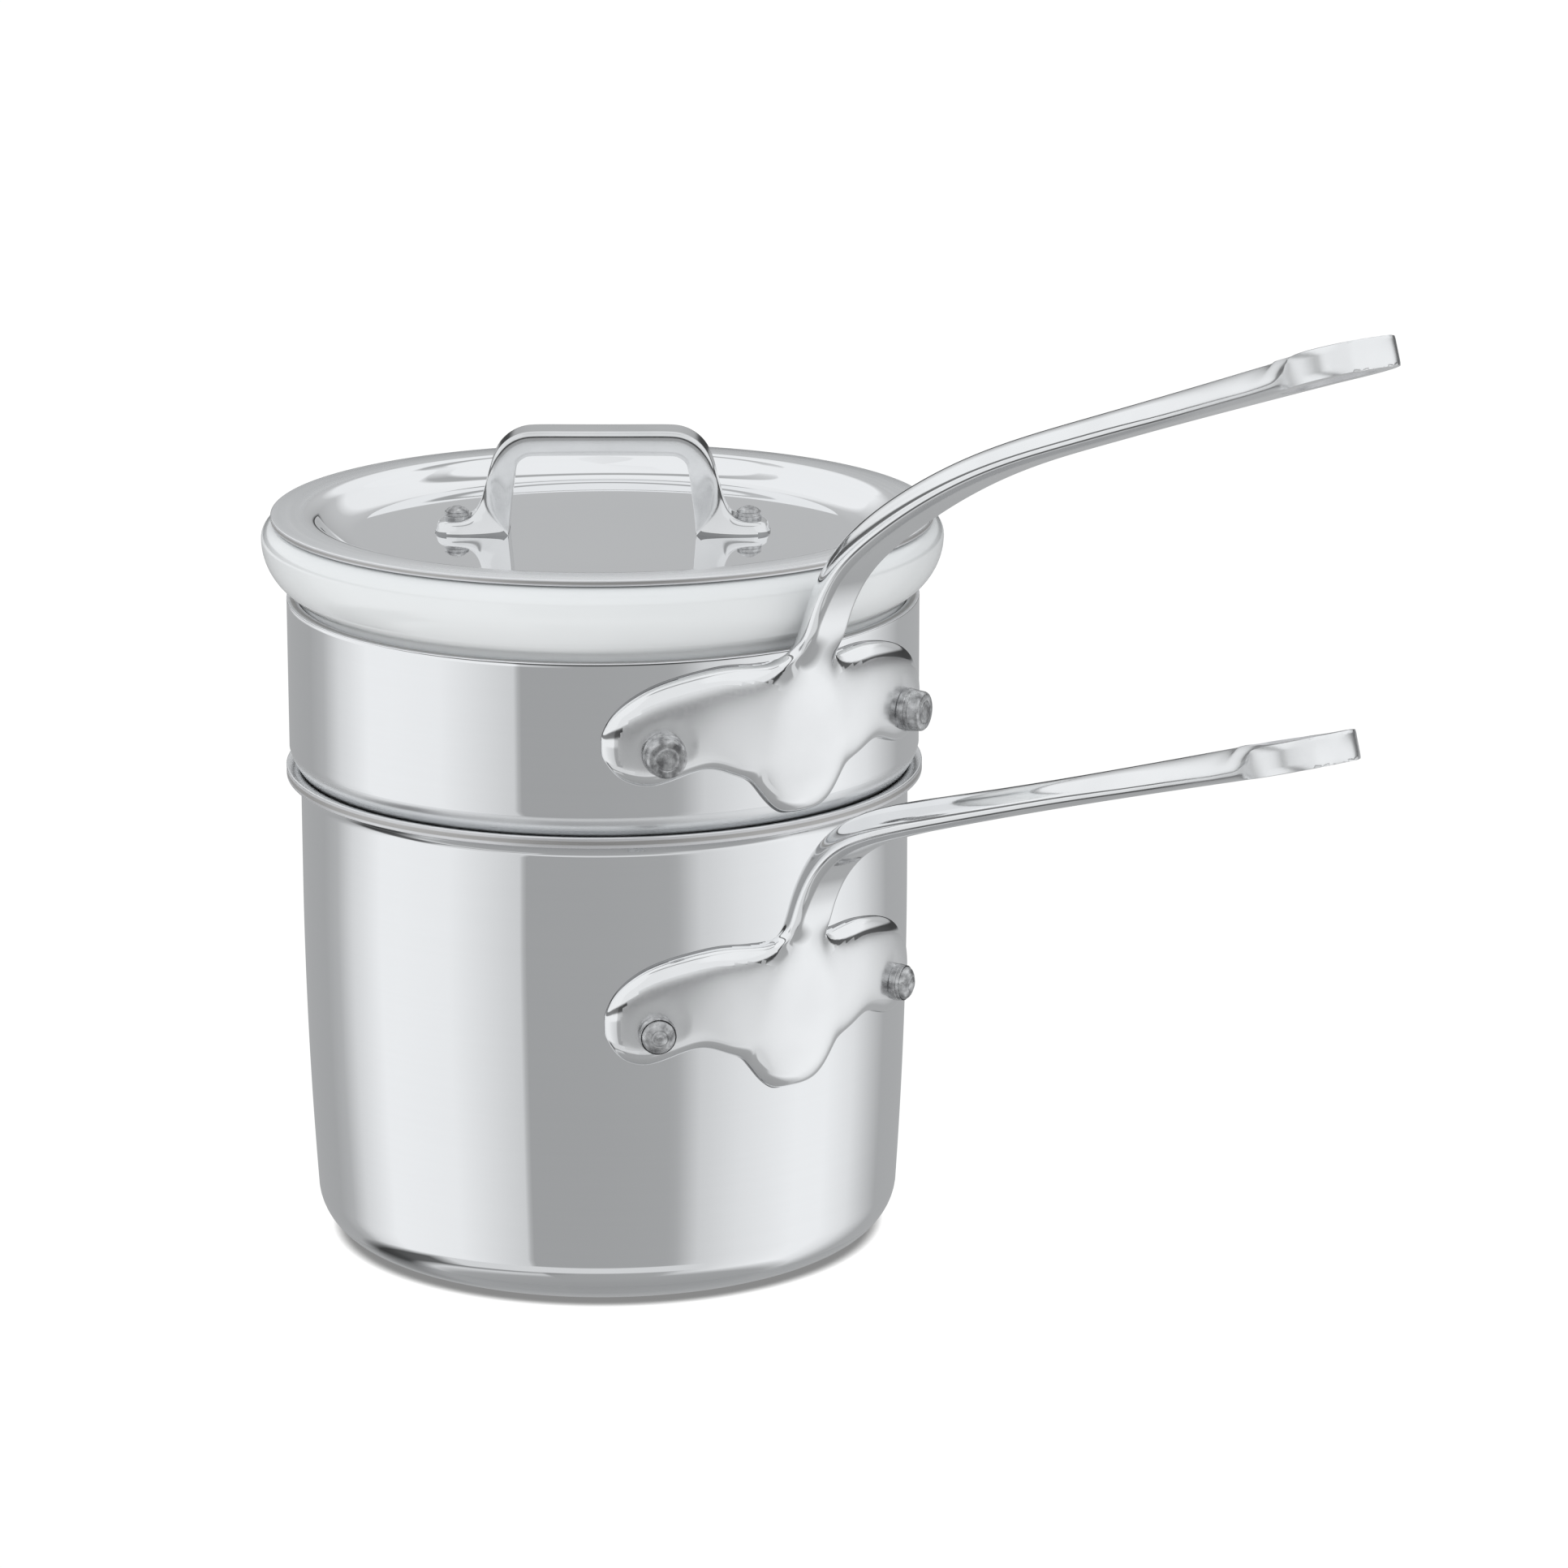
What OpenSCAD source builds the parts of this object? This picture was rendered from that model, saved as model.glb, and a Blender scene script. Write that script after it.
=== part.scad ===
// Double boiler: a steel water pan, a steel ring that stands in its mouth, a porcelain bowl
// that hangs in the ring, and a lid. Each one lifts off the one below it.
// Millimetres, +Z up. The origin is the middle of the pan's foot, and +X runs along the handles.

/* [Water pan] */
// Inside diameter of the pan at its mouth
pan_bore = 140; // [130:1:160]
// Height of the pan to the top of its lip
pan_h = 115.8; // [105:0.1:140]
// Thickness of the steel sheet of the pan and the ring
sheet_t = 2.6; // [2:0.1:3]
// Radius of the corner between wall and foot, on the outside
pan_corner_r = 12; // [8:0.5:18]
// How much the wall draws in from the mouth to the foot corner, on the radius
pan_taper = 2.4; // [0.5:0.1:4]
// Length of straight wall at the mouth, above the part that draws in
pan_straight = 28; // [20:1:35]
// Radius of the bend that turns the lip outwards, on its upper side
lip_bend_r = 6; // [4.5:0.1:8]

/* [Steel ring] */
// How far the ring's wall stands out past the pan's wall
ring_step = 2.6; // [2:0.1:3.5]
// Height of the ring's lower crease above the pan's lip
ring_crease = 4.3; // [3.5:0.1:6]
// Height of the ring's wall, from the crease to its top edge
ring_wall_h = 36.2; // [35:0.1:60]
// Angle on the lip's bend up to which the ring's shoulder lies on it
shoulder_a = 122; // [110:1:135]
// Length of the spigot that stands in the pan's mouth, below the bend
spigot_h = 9.8; // [6:0.1:16]
// Clearance between pieces that rest on or in each other
seat_gap = 0.3; // [0.2:0.05:0.5]

/* [Porcelain bowl] */
// How far the bowl's rim stands out past the ring's wall
rim_reach = 5.7; // [5:0.1:7]
// Radius of the rim's rounded underside
rim_under_r = 14; // [12:0.5:17]
// Radius of the rim's outer top edge
rim_edge_r = 4; // [2:0.1:6]
// Radius of the hollow under the rim that sits on the ring's edge
rim_fillet_r = 2.2; // [1.8:0.1:3]
// Thickness of the porcelain wall and floor
bowl_t = 5; // [4:0.1:6]
// Radius of the inner edge of the bowl's mouth
mouth_edge_r = 4; // [3.5:0.1:5]
// Height of the whole bowl
bowl_h = 88; // [75:1:100]
// Length of the straight neck below the rim
bowl_neck_h = 4; // [2:0.5:8]
// Clearance between the bowl's waist and the ring's spigot
bowl_gap = 1.5; // [1:0.1:3]
// How much the bowl narrows from its waist to its foot corner, on the radius
bowl_taper = 2.5; // [0.5:0.1:6]
// Radius of the bowl's foot corner, on the outside
bowl_corner_r = 20; // [12:1:26]

/* [Lid] */
// How far the lid's edge stays inside the rim's widest part
lid_inset = 2.3; // [1.5:0.1:4]
// Thickness of the lid's sheet
lid_t = 1.5; // [1.2:0.1:1.8]
// Depth of the recess in the lid
recess_h = 5.4; // [4.5:0.1:7]
// Radius of the bend at the top of the recess, on its upper side
recess_bend_r = 4.5; // [3.5:0.1:6]
// Steepest slope of the recess's wall
recess_slope = 48; // [42:1:54]
// Clearance between the recess and the bowl's mouth edge
lid_play = 0.5; // [0.4:0.05:0.8]

/* [Lid handle] */
// Direction of the lid handle, turned from the long handles
lid_turn = 52.3; // [0:0.1:90]
// Distance between the lid handle's two rivets
lid_rivet_pitch = 69.2; // [68.8:0.1:74]
// Height of the grip bar's top above the recessed disc
bar_top = 24.8; // [22:0.1:32]
// Thickness of the grip bar, top to bottom
bar_t = 5.7; // [5:0.1:7]
// Depth of the grip bar, front to back
bar_w = 10; // [8:0.1:12]
// Slope of the handle's legs
leg_a = 76; // [70:1:84]
// How much thicker a leg is at its foot than the bar
leg_flare = 2.8; // [1:0.1:3]
// Radius of the handle's corners, along the middle of the bar
bar_bend_r = 7; // [5:0.5:9]
// Clearance between a leg and the head of the rivet beside it
leg_clear = 0.35; // [0.2:0.05:3]
// Length of each foot
foot_l = 17.2; // [16:0.1:20]
// Width of each foot
foot_w = 11; // [10:0.1:14]
// Thickness of each foot
foot_t = 2.8; // [2:0.1:4]

/* [Long handles] */
// Distance between a long handle's two rivets
rivet_pitch = 68.6; // [64:0.1:72]
// Thickness of the plate that lies on the wall
plate_t = 4.6; // [4:0.1:5.5]
// How far the plate reaches down below its rivets, in the middle
plate_drop = 17; // [14:0.1:17.5]
// How far the plate reaches up above its rivets, in the middle
plate_rise = 20.8; // [19:0.1:22]
// How far the plate's lobes reach sideways past its rivets
lobe_reach = 10.8; // [9:0.1:13]
// How far the plate's soft edge reaches in from its outline
plate_bevel = 3.2; // [2:0.1:4]
// Clearance between the plate and the wall it is riveted to
plate_gap = 0.1; // [0.05:0.05:0.3]
// Depth of the pan handle's rivets below the lip
pan_rivet_drop = 46.8; // [44:0.1:50]
// Depth of the ring handle's rivets below the ring's top edge
ring_rivet_drop = 20.4; // [19.5:0.1:20.8]
// Width of the ridge in the middle of the plate, at its start
ridge_w = 24; // [20:0.5:26]
// Width of the neck where it leaves the plate
neck_w = 15; // [13:0.1:17]
// Distance over which the neck narrows to the shank
neck_l = 30; // [24:1:36]
// Width of the shank at its narrowest
shank_w = 12; // [10:0.1:14]
// Thickness of the shank at its thinnest
shank_t = 5.8; // [5:0.1:7]
// Thickness of the neck above the plate
neck_t = 7.4; // [6.5:0.1:8]
// Width across the hanging end
eye_w = 23; // [20:0.5:28]
// Distance over which the shank widens to the hanging end
eye_taper_l = 55; // [40:1:60]
// Length of the hanging end that has flat sides
slab_l = 26; // [20:0.5:30]
// Thickness of the hanging end
eye_t = 6.4; // [5.5:0.1:8]
// Length of the hanging hole
hole_l = 26; // [20:0.5:30]
// Width of the hanging hole at its outer end
hole_w = 12; // [10:0.5:14]
// Width of the hanging hole at its inner end
hole_tail_w = 6; // [5:0.5:8]

/* [Pan handle run] */
// Distance of the neck's middle from the pan's wall, where its tight bend starts
pan_neck_out = 5; // [4.5:0.1:7]
// Height above the rivets where the tight bend starts
pan_neck_rise = 20; // [18:0.5:24]
// Length of the ridge that rises out of the plate up to there
pan_ridge_l = 15.5; // [13:0.5:19]
// Radius of the neck's tight bend
pan_bend_r = 40; // [34:1:46]
// Slope where the tight bend ends
pan_bend_a = 22; // [20:1:30]
// Radius of the long bend
pan_sweep_r = 250; // [150:5:300]
// Slope of the straight shank
pan_shank_a = 17.6; // [15:0.1:19]
// Length of the straight shank
pan_shank_l = 143; // [110:1:160]

/* [Ring handle run] */
// Distance of the neck's middle from the rim's widest part, where its tight bend starts
ring_neck_out = 1.9; // [1.7:0.1:3]
// Height above the rivets where the tight bend starts
ring_neck_rise = 22; // [20:0.5:24]
// Length of the ridge that rises out of the plate up to there
ring_ridge_l = 25.5; // [22:0.5:28]
// Radius of the neck's tight bend
ring_bend_r = 46; // [40:1:52]
// Slope where the tight bend ends
ring_bend_a = 36; // [30:1:40]
// Radius of the long bend
ring_sweep_r = 225; // [180:5:260]
// Slope of the straight shank
ring_shank_a = 19; // [16:0.1:22]
// Length of the straight shank
ring_shank_l = 111.5; // [90:0.5:130]

/* [Rivets] */
// Diameter of the pan rivets' outer heads
pan_head_d = 8.8; // [8:0.1:10]
// Height of the pan rivets' outer heads
pan_head_h = 4.1; // [3:0.1:5]
// Diameter of the ring rivets' outer heads
ring_head_d = 10.2; // [8.5:0.1:11]
// Height of the ring rivets' outer heads
ring_head_h = 4.8; // [3.5:0.1:5.5]
// Diameter of the lid rivets' outer heads
lid_head_d = 6.2; // [5.5:0.1:7]
// Height of the lid rivets' outer heads
lid_head_h = 4.1; // [3:0.1:5]
// Diameter of the long handles' rivet shanks
shank_d = 6; // [5:0.1:6.5]
// Diameter of the lid handle's rivet shanks
lid_shank_d = 3.6; // [3:0.1:4]
// Height of the flat heads inside the vessels
inner_head_h = 1.6; // [1:0.1:2]
// Diameter of the flat heads inside the vessels
inner_head_d = 10; // [8:0.1:11]
// Diameter of the flat heads under the lid
lid_inner_head_d = 7; // [5.5:0.1:8]
// Radius of the edge of the outer heads
head_edge_r = 1.1; // [0.5:0.1:1.3]
// Taper of the outer heads' sides
head_taper_a = 8; // [2:1:12]
// Clearance of a rivet in its holes, on the radius
rivet_gap = 0.1; // [0.05:0.05:0.2]

/* [Hidden] */
$fn = 96;

// Steps in a rounded stretch of an outline, in a small one, and along the pan's curved wall
arc_n = 8;
small_arc_n = 4;
wall_n = 12;
// Steps between two points of a smooth outline
curve_n = 4;
// Steps round the upper side of a rounded section
section_n = 12;
// Steps in the stretches of a long handle: ridge, tight bend, long bend, shank, flat sides and
// round end
ridge_n = 3;
bend_n = 8;
sweep_n = 5;
shank_n = 10;
slab_n = 2;
end_n = 6;
// How far round the end of a long handle its outline is stepped, before a small flat closes it
end_a = 78;
// Steps in a leg of the lid handle, and in half of its bar
leg_n = 4;
bar_n = 3;
// How far a cutting tool runs past what it cuts
past = 20;

// Pan: line_r is the radius at the middle of the handle's plate, on the line of its rivets
pan_r = pan_bore / 2 + sheet_t;
lip_z = pan_h - lip_bend_r;
lip_r = pan_bore / 2 + lip_bend_r;
straight_z = pan_h - pan_straight;
foot_r = pan_r - pan_taper - pan_corner_r;
pan_rivet_z = pan_h - pan_rivet_drop;
pan_line_r = wall_r(pan_rivet_z) + plate_t / 2;

// Ring
ring_r = pan_r + ring_step;
ring_bore_r = ring_r - sheet_t;
crease_z = pan_h + ring_crease;
ring_top = crease_z + ring_wall_h;
spigot_z = lip_z - spigot_h;
spigot_r = lip_r - lip_bend_r - seat_gap;
ring_rivet_z = ring_top - ring_rivet_drop;
ring_line_r = ring_r + plate_t / 2;

// Bowl: the hollow under its rim is centred so that the ring's inner edge lies seat_gap off it
neck_r = ring_bore_r - seat_gap;
rim_r = ring_r + rim_reach;
rim_a = acos((neck_r + rim_fillet_r - rim_r + rim_under_r) / (rim_under_r + rim_fillet_r));
rim_mid_z = ring_top + (rim_under_r + rim_fillet_r) * sin(rim_a);
rim_top = rim_mid_z + rim_edge_r;
bowl_bore_r = neck_r - bowl_t;
bowl_z = rim_top - bowl_h;
waist_r = spigot_r - sheet_t - bowl_gap;
waist_z = lip_z + lip_bend_r / 2;
bowl_foot_r = waist_r - bowl_taper;

// Lid
lid_r = rim_r - lid_inset;
lid_z = rim_top + seat_gap;
lid_top = lid_z + lid_t;
recess_r = bowl_bore_r + mouth_edge_r - lid_play;
recess_hollow_r = recess_h / (1 - cos(recess_slope)) - recess_bend_r;
disc_r = recess_r - (recess_bend_r + recess_hollow_r) * sin(recess_slope);
disc_z = lid_top - recess_h;

// Lid handle: the distance between the middles of its legs, at half the thickness of the feet
leg_base_t = bar_t + leg_flare;
leg_pitch = lid_rivet_pitch - lid_head_d - 2 * leg_clear + foot_t / tan(leg_a) - leg_base_t / sin(leg_a);

// Half of the plate's outline, sideways and up from the line of its rivets: from the point in
// the middle, over the hollow and round the lobe, to the top
lobe = rivet_pitch / 2;
plate_half = [[0, -plate_drop], [0.23 * lobe, -0.91 * plate_drop], [0.46 * lobe, -0.54 * plate_drop],
              [0.66 * lobe, -0.27 * plate_drop], [0.84 * lobe, -0.36 * plate_drop],
              [1.03 * lobe, -0.48 * plate_drop], [lobe + 0.74 * lobe_reach, -0.33 * plate_drop],
              [lobe + lobe_reach, 0.05 * plate_rise], [lobe + 0.74 * lobe_reach, 0.45 * plate_rise],
              [lobe, 0.76 * plate_rise], [0.64 * lobe, 0.9 * plate_rise], [0.32 * lobe, plate_rise]];
// The plate is built up in rings: the outline drawn in to these shares of its width and height,
// about its middle, at these depths off the wall
plate_mid = 0.4 * plate_rise;
bevel_k = [1 - plate_bevel / (lobe + lobe_reach), 1 - plate_bevel / plate_rise];
plate_rings = [[1, 1, -plate_t / 4], [1, 1, 0.5 * plate_t],
               [0.45 + 0.55 * bevel_k[0], 0.45 + 0.55 * bevel_k[1], 0.83 * plate_t],
               [bevel_k[0], bevel_k[1], plate_t], [0.78, 0.72, plate_t], [0.56, 0.54, plate_t],
               [0.4, 0.4, plate_t], [0.2, 0.2, plate_t]];
// Widths of a long handle at distances past the start of its neck, where the ridge on the plate
// has grown to its full height, and at distances back from its end
root_widths = [[-plate_drop, ridge_w], [-plate_drop / 2, 0.8 * ridge_w], [0, neck_w],
               [neck_l / 4, 0.2 * neck_w + 0.8 * shank_w], [neck_l, shank_w]];
eye_widths = [[eye_w / 2, eye_w], [eye_w, 0.96 * eye_w], [eye_w + 0.22 * eye_taper_l, 0.78 * eye_w],
              [eye_w + 0.55 * eye_taper_l, 1.17 * shank_w], [eye_w + eye_taper_l, shank_w]];
// Thicknesses likewise
root_depths = [[-plate_drop, 0.78 * plate_t], [0, neck_t], [1.5 * neck_l, neck_t], [3.2 * neck_l, shank_t]];
eye_depths = [[0, eye_t], [eye_w, eye_t], [eye_w + 0.9 * eye_taper_l, shank_t]];
// Fullness of the rounded sections, and of the hanging end: 1 is an ellipse, and less is squarer
fullness = 0.72;
slab_fullness = 0.24;
// Length of the step between the two
slab_step = slab_l / 13;

function arc(c, r, a, b, n = arc_n) =
    [for (i = [0 : n]) let (t = a + (b - a) * i / n) c + r * [cos(t), sin(t)]];
function flip(p) = [for (i = [len(p) - 1 : -1 : 0]) p[i]];
function mirrored(p) = [for (q = flip(p)) [-q[0], q[1]]];
function at(p, i) = p[(i + len(p)) % len(p)];
function spline(a, b, c, d, t) =
    b + ((c - a) * t + (2 * a - 5 * b + 4 * c - d) * t * t + (3 * b - a - 3 * c + d) * t * t * t) / 2;
function smooth(p) =
    [for (i = [0 : len(p) - 1], k = [0 : curve_n - 1])
        spline(at(p, i - 1), p[i], at(p, i + 1), at(p, i + 2), k / curve_n)];

// Rounded sections, w wide and t thick: one with a flat underside, and one round all over
function round_power(v, f = fullness) = sign(v) * pow(abs(v), f);
function flat_section(w, t, f) =
    [for (i = [0 : section_n]) let (a = 180 * i / section_n)
        [w / 2 * round_power(cos(a), f), t * (round_power(sin(a), f) - 1 / 2)]];
function full_section(w, t) =
    [for (i = [0 : section_n + 1]) let (a = 360 * i / (section_n + 2))
        [w / 2 * round_power(cos(a)), t / 2 * round_power(sin(a))]];

// A run is a list of places [x, z, slope, distance along the run]
function ahead(p, l) = [p[0] + l * cos(p[2]), p[1] + l * sin(p[2]), p[2], p[3] + l];
function turned(p, r, a) =
    [p[0] + r * (sin(p[2]) - sin(p[2] - a)), p[1] + r * (cos(p[2] - a) - cos(p[2])),
     p[2] - a, p[3] + r * a * PI / 180];
function last(p) = p[len(p) - 1];
function straight_run(p, l, n) = [for (i = [1 : n]) ahead(p, l * i / n)];
function bent_run(p, r, a, n) = [for (i = [1 : n]) turned(p, r, a * i / n)];

// A long handle's run: a ridge that rises out of the plate, on a wall of radius r, then a tight
// bend, a long bend, a shank, a step to flat sides and a round end. x and z are the neck's place.
function handle_run(r, x, z, ridge_l, r1, a1, r2, a2, l) =
    let (a = acos((x - r - plate_t / 2) / ridge_l),
         start = ahead([x, z, a, 0], -ridge_l),
         ridge = concat([start], straight_run(start, ridge_l, ridge_n)),
         neck = bent_run(last(ridge), r1, a - a1, bend_n),
         sweep = bent_run(last(neck), r2, a1 - a2, sweep_n),
         shank = straight_run(last(sweep), l - slab_l - slab_step, shank_n),
         step = straight_run(last(shank), slab_step, 1),
         slab = straight_run(last(step), slab_l - eye_w / 2, slab_n),
         end = [for (i = [1 : end_n]) ahead(last(slab), eye_w / 2 * sin(end_a * i / end_n))])
    concat(ridge, neck, sweep, shank, step, slab, end);
function end_round(d) = d < eye_w / 2 ? 2 * sqrt(pow(eye_w / 2, 2) - pow(eye_w / 2 - d, 2)) : eye_w;
function handle_w(s, d) = min(end_round(d), max(lookup(s, root_widths), lookup(d, eye_widths)));
function handle_t(s, d) = max(lookup(s, root_depths), lookup(d, eye_depths));
function handle_f(d) = lookup(d, [[slab_l, slab_fullness], [slab_l + slab_step, fullness]]);

// The outside of the pan's wall, which draws in towards the foot: its radius at a height, and its
// line from the foot corner up
function wall_r(z) =
    pan_r - pan_taper * pow(max(0, (straight_z - z) / (straight_z - pan_corner_r)), 2);
function wall_line(in = 0) =
    [for (i = [0 : wall_n]) let (z = pan_corner_r + (straight_z - pan_corner_r) * i / wall_n)
        [wall_r(z) - in, z]];

// A ring about Z around a line of [radius, height] points, from a to b outside it
module shell_on(line, a, b) {
    rotate_extrude() polygon(concat([for (p = line) p + [a, 0]], [for (p = flip(line)) p + [b, 0]]));
}

// A solid along a run, with one section for each of its places
module swept(run, sections) {
    m = len(sections[0]);
    n = len(run);
    polyhedron(
        points = [for (i = [0 : n - 1]) for (q = sections[i])
            [run[i][0] - q[1] * sin(run[i][2]), q[0], run[i][1] + q[1] * cos(run[i][2])]],
        faces = concat(
            [[for (j = [0 : m - 1]) j]],
            [[for (j = [m - 1 : -1 : 0]) (n - 1) * m + j]],
            [for (i = [0 : n - 2], j = [0 : m - 1]) let (k = (j + 1) % m)
                [(i + 1) * m + j, (i + 1) * m + k, i * m + k, i * m + j]]));
}

// The place of a rivet in a plate whose middle has this radius, on the left (1) or right (-1)
module on_wall(side, line_r, z) {
    translate([0, 0, z]) rotate([0, 0, side * asin(lobe / line_r)]) rotate([0, 90, 0]) children();
}

// A hole for a rivet shank, along Z, through what lies about height z
module rivet_hole(d, z) {
    translate([0, 0, z - past / 2]) cylinder(d = d + 2 * rivet_gap, h = past);
}

// A rivet along Z: a flat inner head below z0, a shank, and a tapered outer head from z1 up
module rivet(d, z0, z1, inner_d, head_d, head_h) {
    chamfer = inner_head_h / 2;
    edge_x = head_d / 2 - head_h * tan(head_taper_a) - head_edge_r;
    rotate_extrude() polygon(concat(
        [[0, z0 - inner_head_h], [inner_d / 2 - chamfer, z0 - inner_head_h],
         [inner_d / 2, z0 - chamfer], [inner_d / 2, z0], [d / 2, z0], [d / 2, z1], [head_d / 2, z1]],
        arc([edge_x, z1 + head_h - head_edge_r], head_edge_r, 0, 90, small_arc_n),
        [[0, z1 + head_h]]));
}

module water_pan() {
    outside = concat(
        [[0, 0]],
        arc([foot_r, pan_corner_r], pan_corner_r, -90, 0),
        wall_line(),
        arc([lip_r, lip_z], lip_bend_r - sheet_t, 180, 90));
    inside = concat(
        arc([lip_r, lip_z], lip_bend_r, 90, 180),
        flip(wall_line(sheet_t)),
        arc([foot_r, pan_corner_r], pan_corner_r - sheet_t, 0, -90),
        [[0, sheet_t]]);
    color("silver") difference() {
        rotate_extrude() polygon(concat(outside, inside));
        for (side = [-1, 1]) on_wall(side, pan_line_r, pan_rivet_z) rivet_hole(shank_d, pan_line_r);
    }
}

module steel_ring() {
    seat = [lip_r, lip_z];
    knee = seat + (lip_bend_r + seat_gap) * [cos(shoulder_a), sin(shoulder_a)];
    slope = atan2(crease_z - knee[1], ring_r - knee[0]);
    outside = concat(
        [[spigot_r, spigot_z]],
        arc(seat, lip_bend_r + seat_gap, 180, shoulder_a),
        [[ring_r, crease_z], [ring_r, ring_top]]);
    inside = concat(
        [[ring_bore_r, ring_top], [ring_bore_r, crease_z + sheet_t * tan((90 - slope) / 2)]],
        arc(seat, lip_bend_r + seat_gap + sheet_t, shoulder_a, 180),
        [[spigot_r - sheet_t, spigot_z]]);
    color("silver") difference() {
        rotate_extrude() polygon(concat(outside, inside));
        for (side = [-1, 1]) on_wall(side, ring_line_r, ring_rivet_z) rivet_hole(shank_d, ring_line_r);
    }
}

module porcelain_bowl() {
    under_c = [rim_r - rim_under_r, rim_mid_z];
    outside = concat(
        [[0, bowl_z]],
        arc([bowl_foot_r - bowl_corner_r, bowl_z + bowl_corner_r], bowl_corner_r, -90, 0),
        [[waist_r, waist_z], [neck_r, ring_top - bowl_neck_h]],
        arc([neck_r + rim_fillet_r, ring_top], rim_fillet_r, 180, 180 - rim_a, small_arc_n),
        arc(under_c, rim_under_r, -rim_a, 0),
        arc([rim_r - rim_edge_r, rim_mid_z], rim_edge_r, 0, 90));
    inside = concat(
        arc([bowl_bore_r + mouth_edge_r, rim_top - mouth_edge_r], mouth_edge_r, 90, 180),
        [[bowl_bore_r, ring_top - bowl_neck_h], [waist_r - bowl_t, waist_z]],
        arc([bowl_foot_r - bowl_corner_r, bowl_z + bowl_corner_r], bowl_corner_r - bowl_t, 0, -90),
        [[0, bowl_z + bowl_t]]);
    color("white") rotate_extrude() polygon(concat(outside, inside));
}

module lid() {
    bend_c = [recess_r, lid_top - recess_bend_r];
    hollow_c = [disc_r, disc_z + recess_hollow_r];
    upper = concat(
        [[0, disc_z]],
        arc(hollow_c, recess_hollow_r, -90, recess_slope - 90),
        arc(bend_c, recess_bend_r, 90 + recess_slope, 90),
        [[lid_r, lid_top]]);
    lower = concat(
        [[lid_r, lid_z]],
        arc(bend_c, recess_bend_r - lid_t, 90, 90 + recess_slope),
        arc(hollow_c, recess_hollow_r + lid_t, recess_slope - 90, -90),
        [[0, disc_z - lid_t]]);
    color("gainsboro") difference() {
        rotate_extrude() polygon(concat(upper, lower));
        on_lid() lid_rivet_holes();
    }
}

// The lid handle's own directions: its bar lies along X
module on_lid() {
    rotate([0, 0, lid_turn]) children();
}

module lid_rivet_holes() {
    for (side = [-1, 1]) translate([side * lid_rivet_pitch / 2, 0, 0]) rivet_hole(lid_shank_d, disc_z);
}

// The place off a wall with this line, for a point of the plate's outline in one of its rings
function off_wall(wall, z, q, ring) =
    let (radii = [for (p = wall) [p[1], p[0]]],
         h = z + plate_mid + ring[1] * (q[1] - plate_mid),
         a = asin(ring[0] * q[0] / (lookup(z, radii) + plate_t / 2)),
         r = lookup(h, radii) + ring[2])
    [r * cos(a), r * sin(a), h];

// A handle's plate on a wall with this line, with its rivets at height z. It starts inside the wall,
// so that the wall's own shape can be cut out of its back.
module plate(wall, z) {
    half = [for (i = [1 : len(plate_half) - 1]) plate_half[i]];
    outline = smooth(concat([plate_half[0]], half, mirrored(half)));
    m = len(outline);
    n = len(plate_rings);
    middle = [0, plate_mid];
    polyhedron(
        points = concat(
            [for (ring = plate_rings) for (q = outline) off_wall(wall, z, q, ring)],
            [off_wall(wall, z, middle, plate_rings[0]), off_wall(wall, z, middle, last(plate_rings))]),
        faces = concat(
            [for (j = [0 : m - 1]) [n * m, j, (j + 1) % m]],
            [for (j = [0 : m - 1]) [n * m + 1, (n - 1) * m + (j + 1) % m, (n - 1) * m + j]],
            [for (i = [0 : n - 2], j = [0 : m - 1]) let (k = (j + 1) % m)
                [(i + 1) * m + j, (i + 1) * m + k, i * m + k, i * m + j]]));
}

// A hanging hole along Z, round at both ends and narrower at its tail, which points to -X
module hanging_hole() {
    tail = hole_l - (hole_w + hole_tail_w) / 2;
    lean = asin((hole_w - hole_tail_w) / 2 / tail);
    corners = [[0, hole_w / 2], [-tail, hole_tail_w / 2]];
    side = [for (c = corners) [c[0] - c[1] * sin(lean), c[1] * cos(lean)]];
    translate([0, 0, -past]) linear_extrude(2 * past) {
        circle(d = hole_w);
        translate([-tail, 0]) circle(d = hole_tail_w);
        polygon(concat(side, flip([for (p = side) [p[0], -p[1]]])));
    }
}

// A long handle: its plate on a wall with this line, its run and its hanging hole
module long_handle(wall, line_r, z, run) {
    total = last(run)[3] + eye_w / 2 * (1 - sin(end_a));
    hole_c = ahead(last(run), total - eye_w / 2 - last(run)[3]);
    sections = [for (p = run) let (s = p[3], d = total - s)
        flat_section(handle_w(s, d), handle_t(s, d), handle_f(d))];
    difference() {
        union() {
            plate(wall, z);
            swept(run, sections);
        }
        shell_on(wall, -past, plate_gap);
        for (side = [-1, 1]) on_wall(side, line_r, z) rivet_hole(shank_d, line_r);
        translate([hole_c[0], 0, hole_c[1]]) rotate([0, -hole_c[2], 0]) hanging_hole();
    }
}

module pan_handle() {
    color("lightgray") long_handle(concat(wall_line(), [[pan_r, lip_z]]), pan_line_r, pan_rivet_z,
        handle_run(pan_r, pan_r + pan_neck_out, pan_rivet_z + pan_neck_rise, pan_ridge_l,
                   pan_bend_r, pan_bend_a, pan_sweep_r, pan_shank_a, pan_shank_l));
}

module ring_handle() {
    color("lightgray") long_handle([[ring_r, lip_z], [ring_r, rim_top]], ring_line_r, ring_rivet_z,
        handle_run(ring_r, rim_r + ring_neck_out, ring_rivet_z + ring_neck_rise, ring_ridge_l,
                   ring_bend_r, ring_bend_a, ring_sweep_r, ring_shank_a, ring_shank_l));
}

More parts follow.
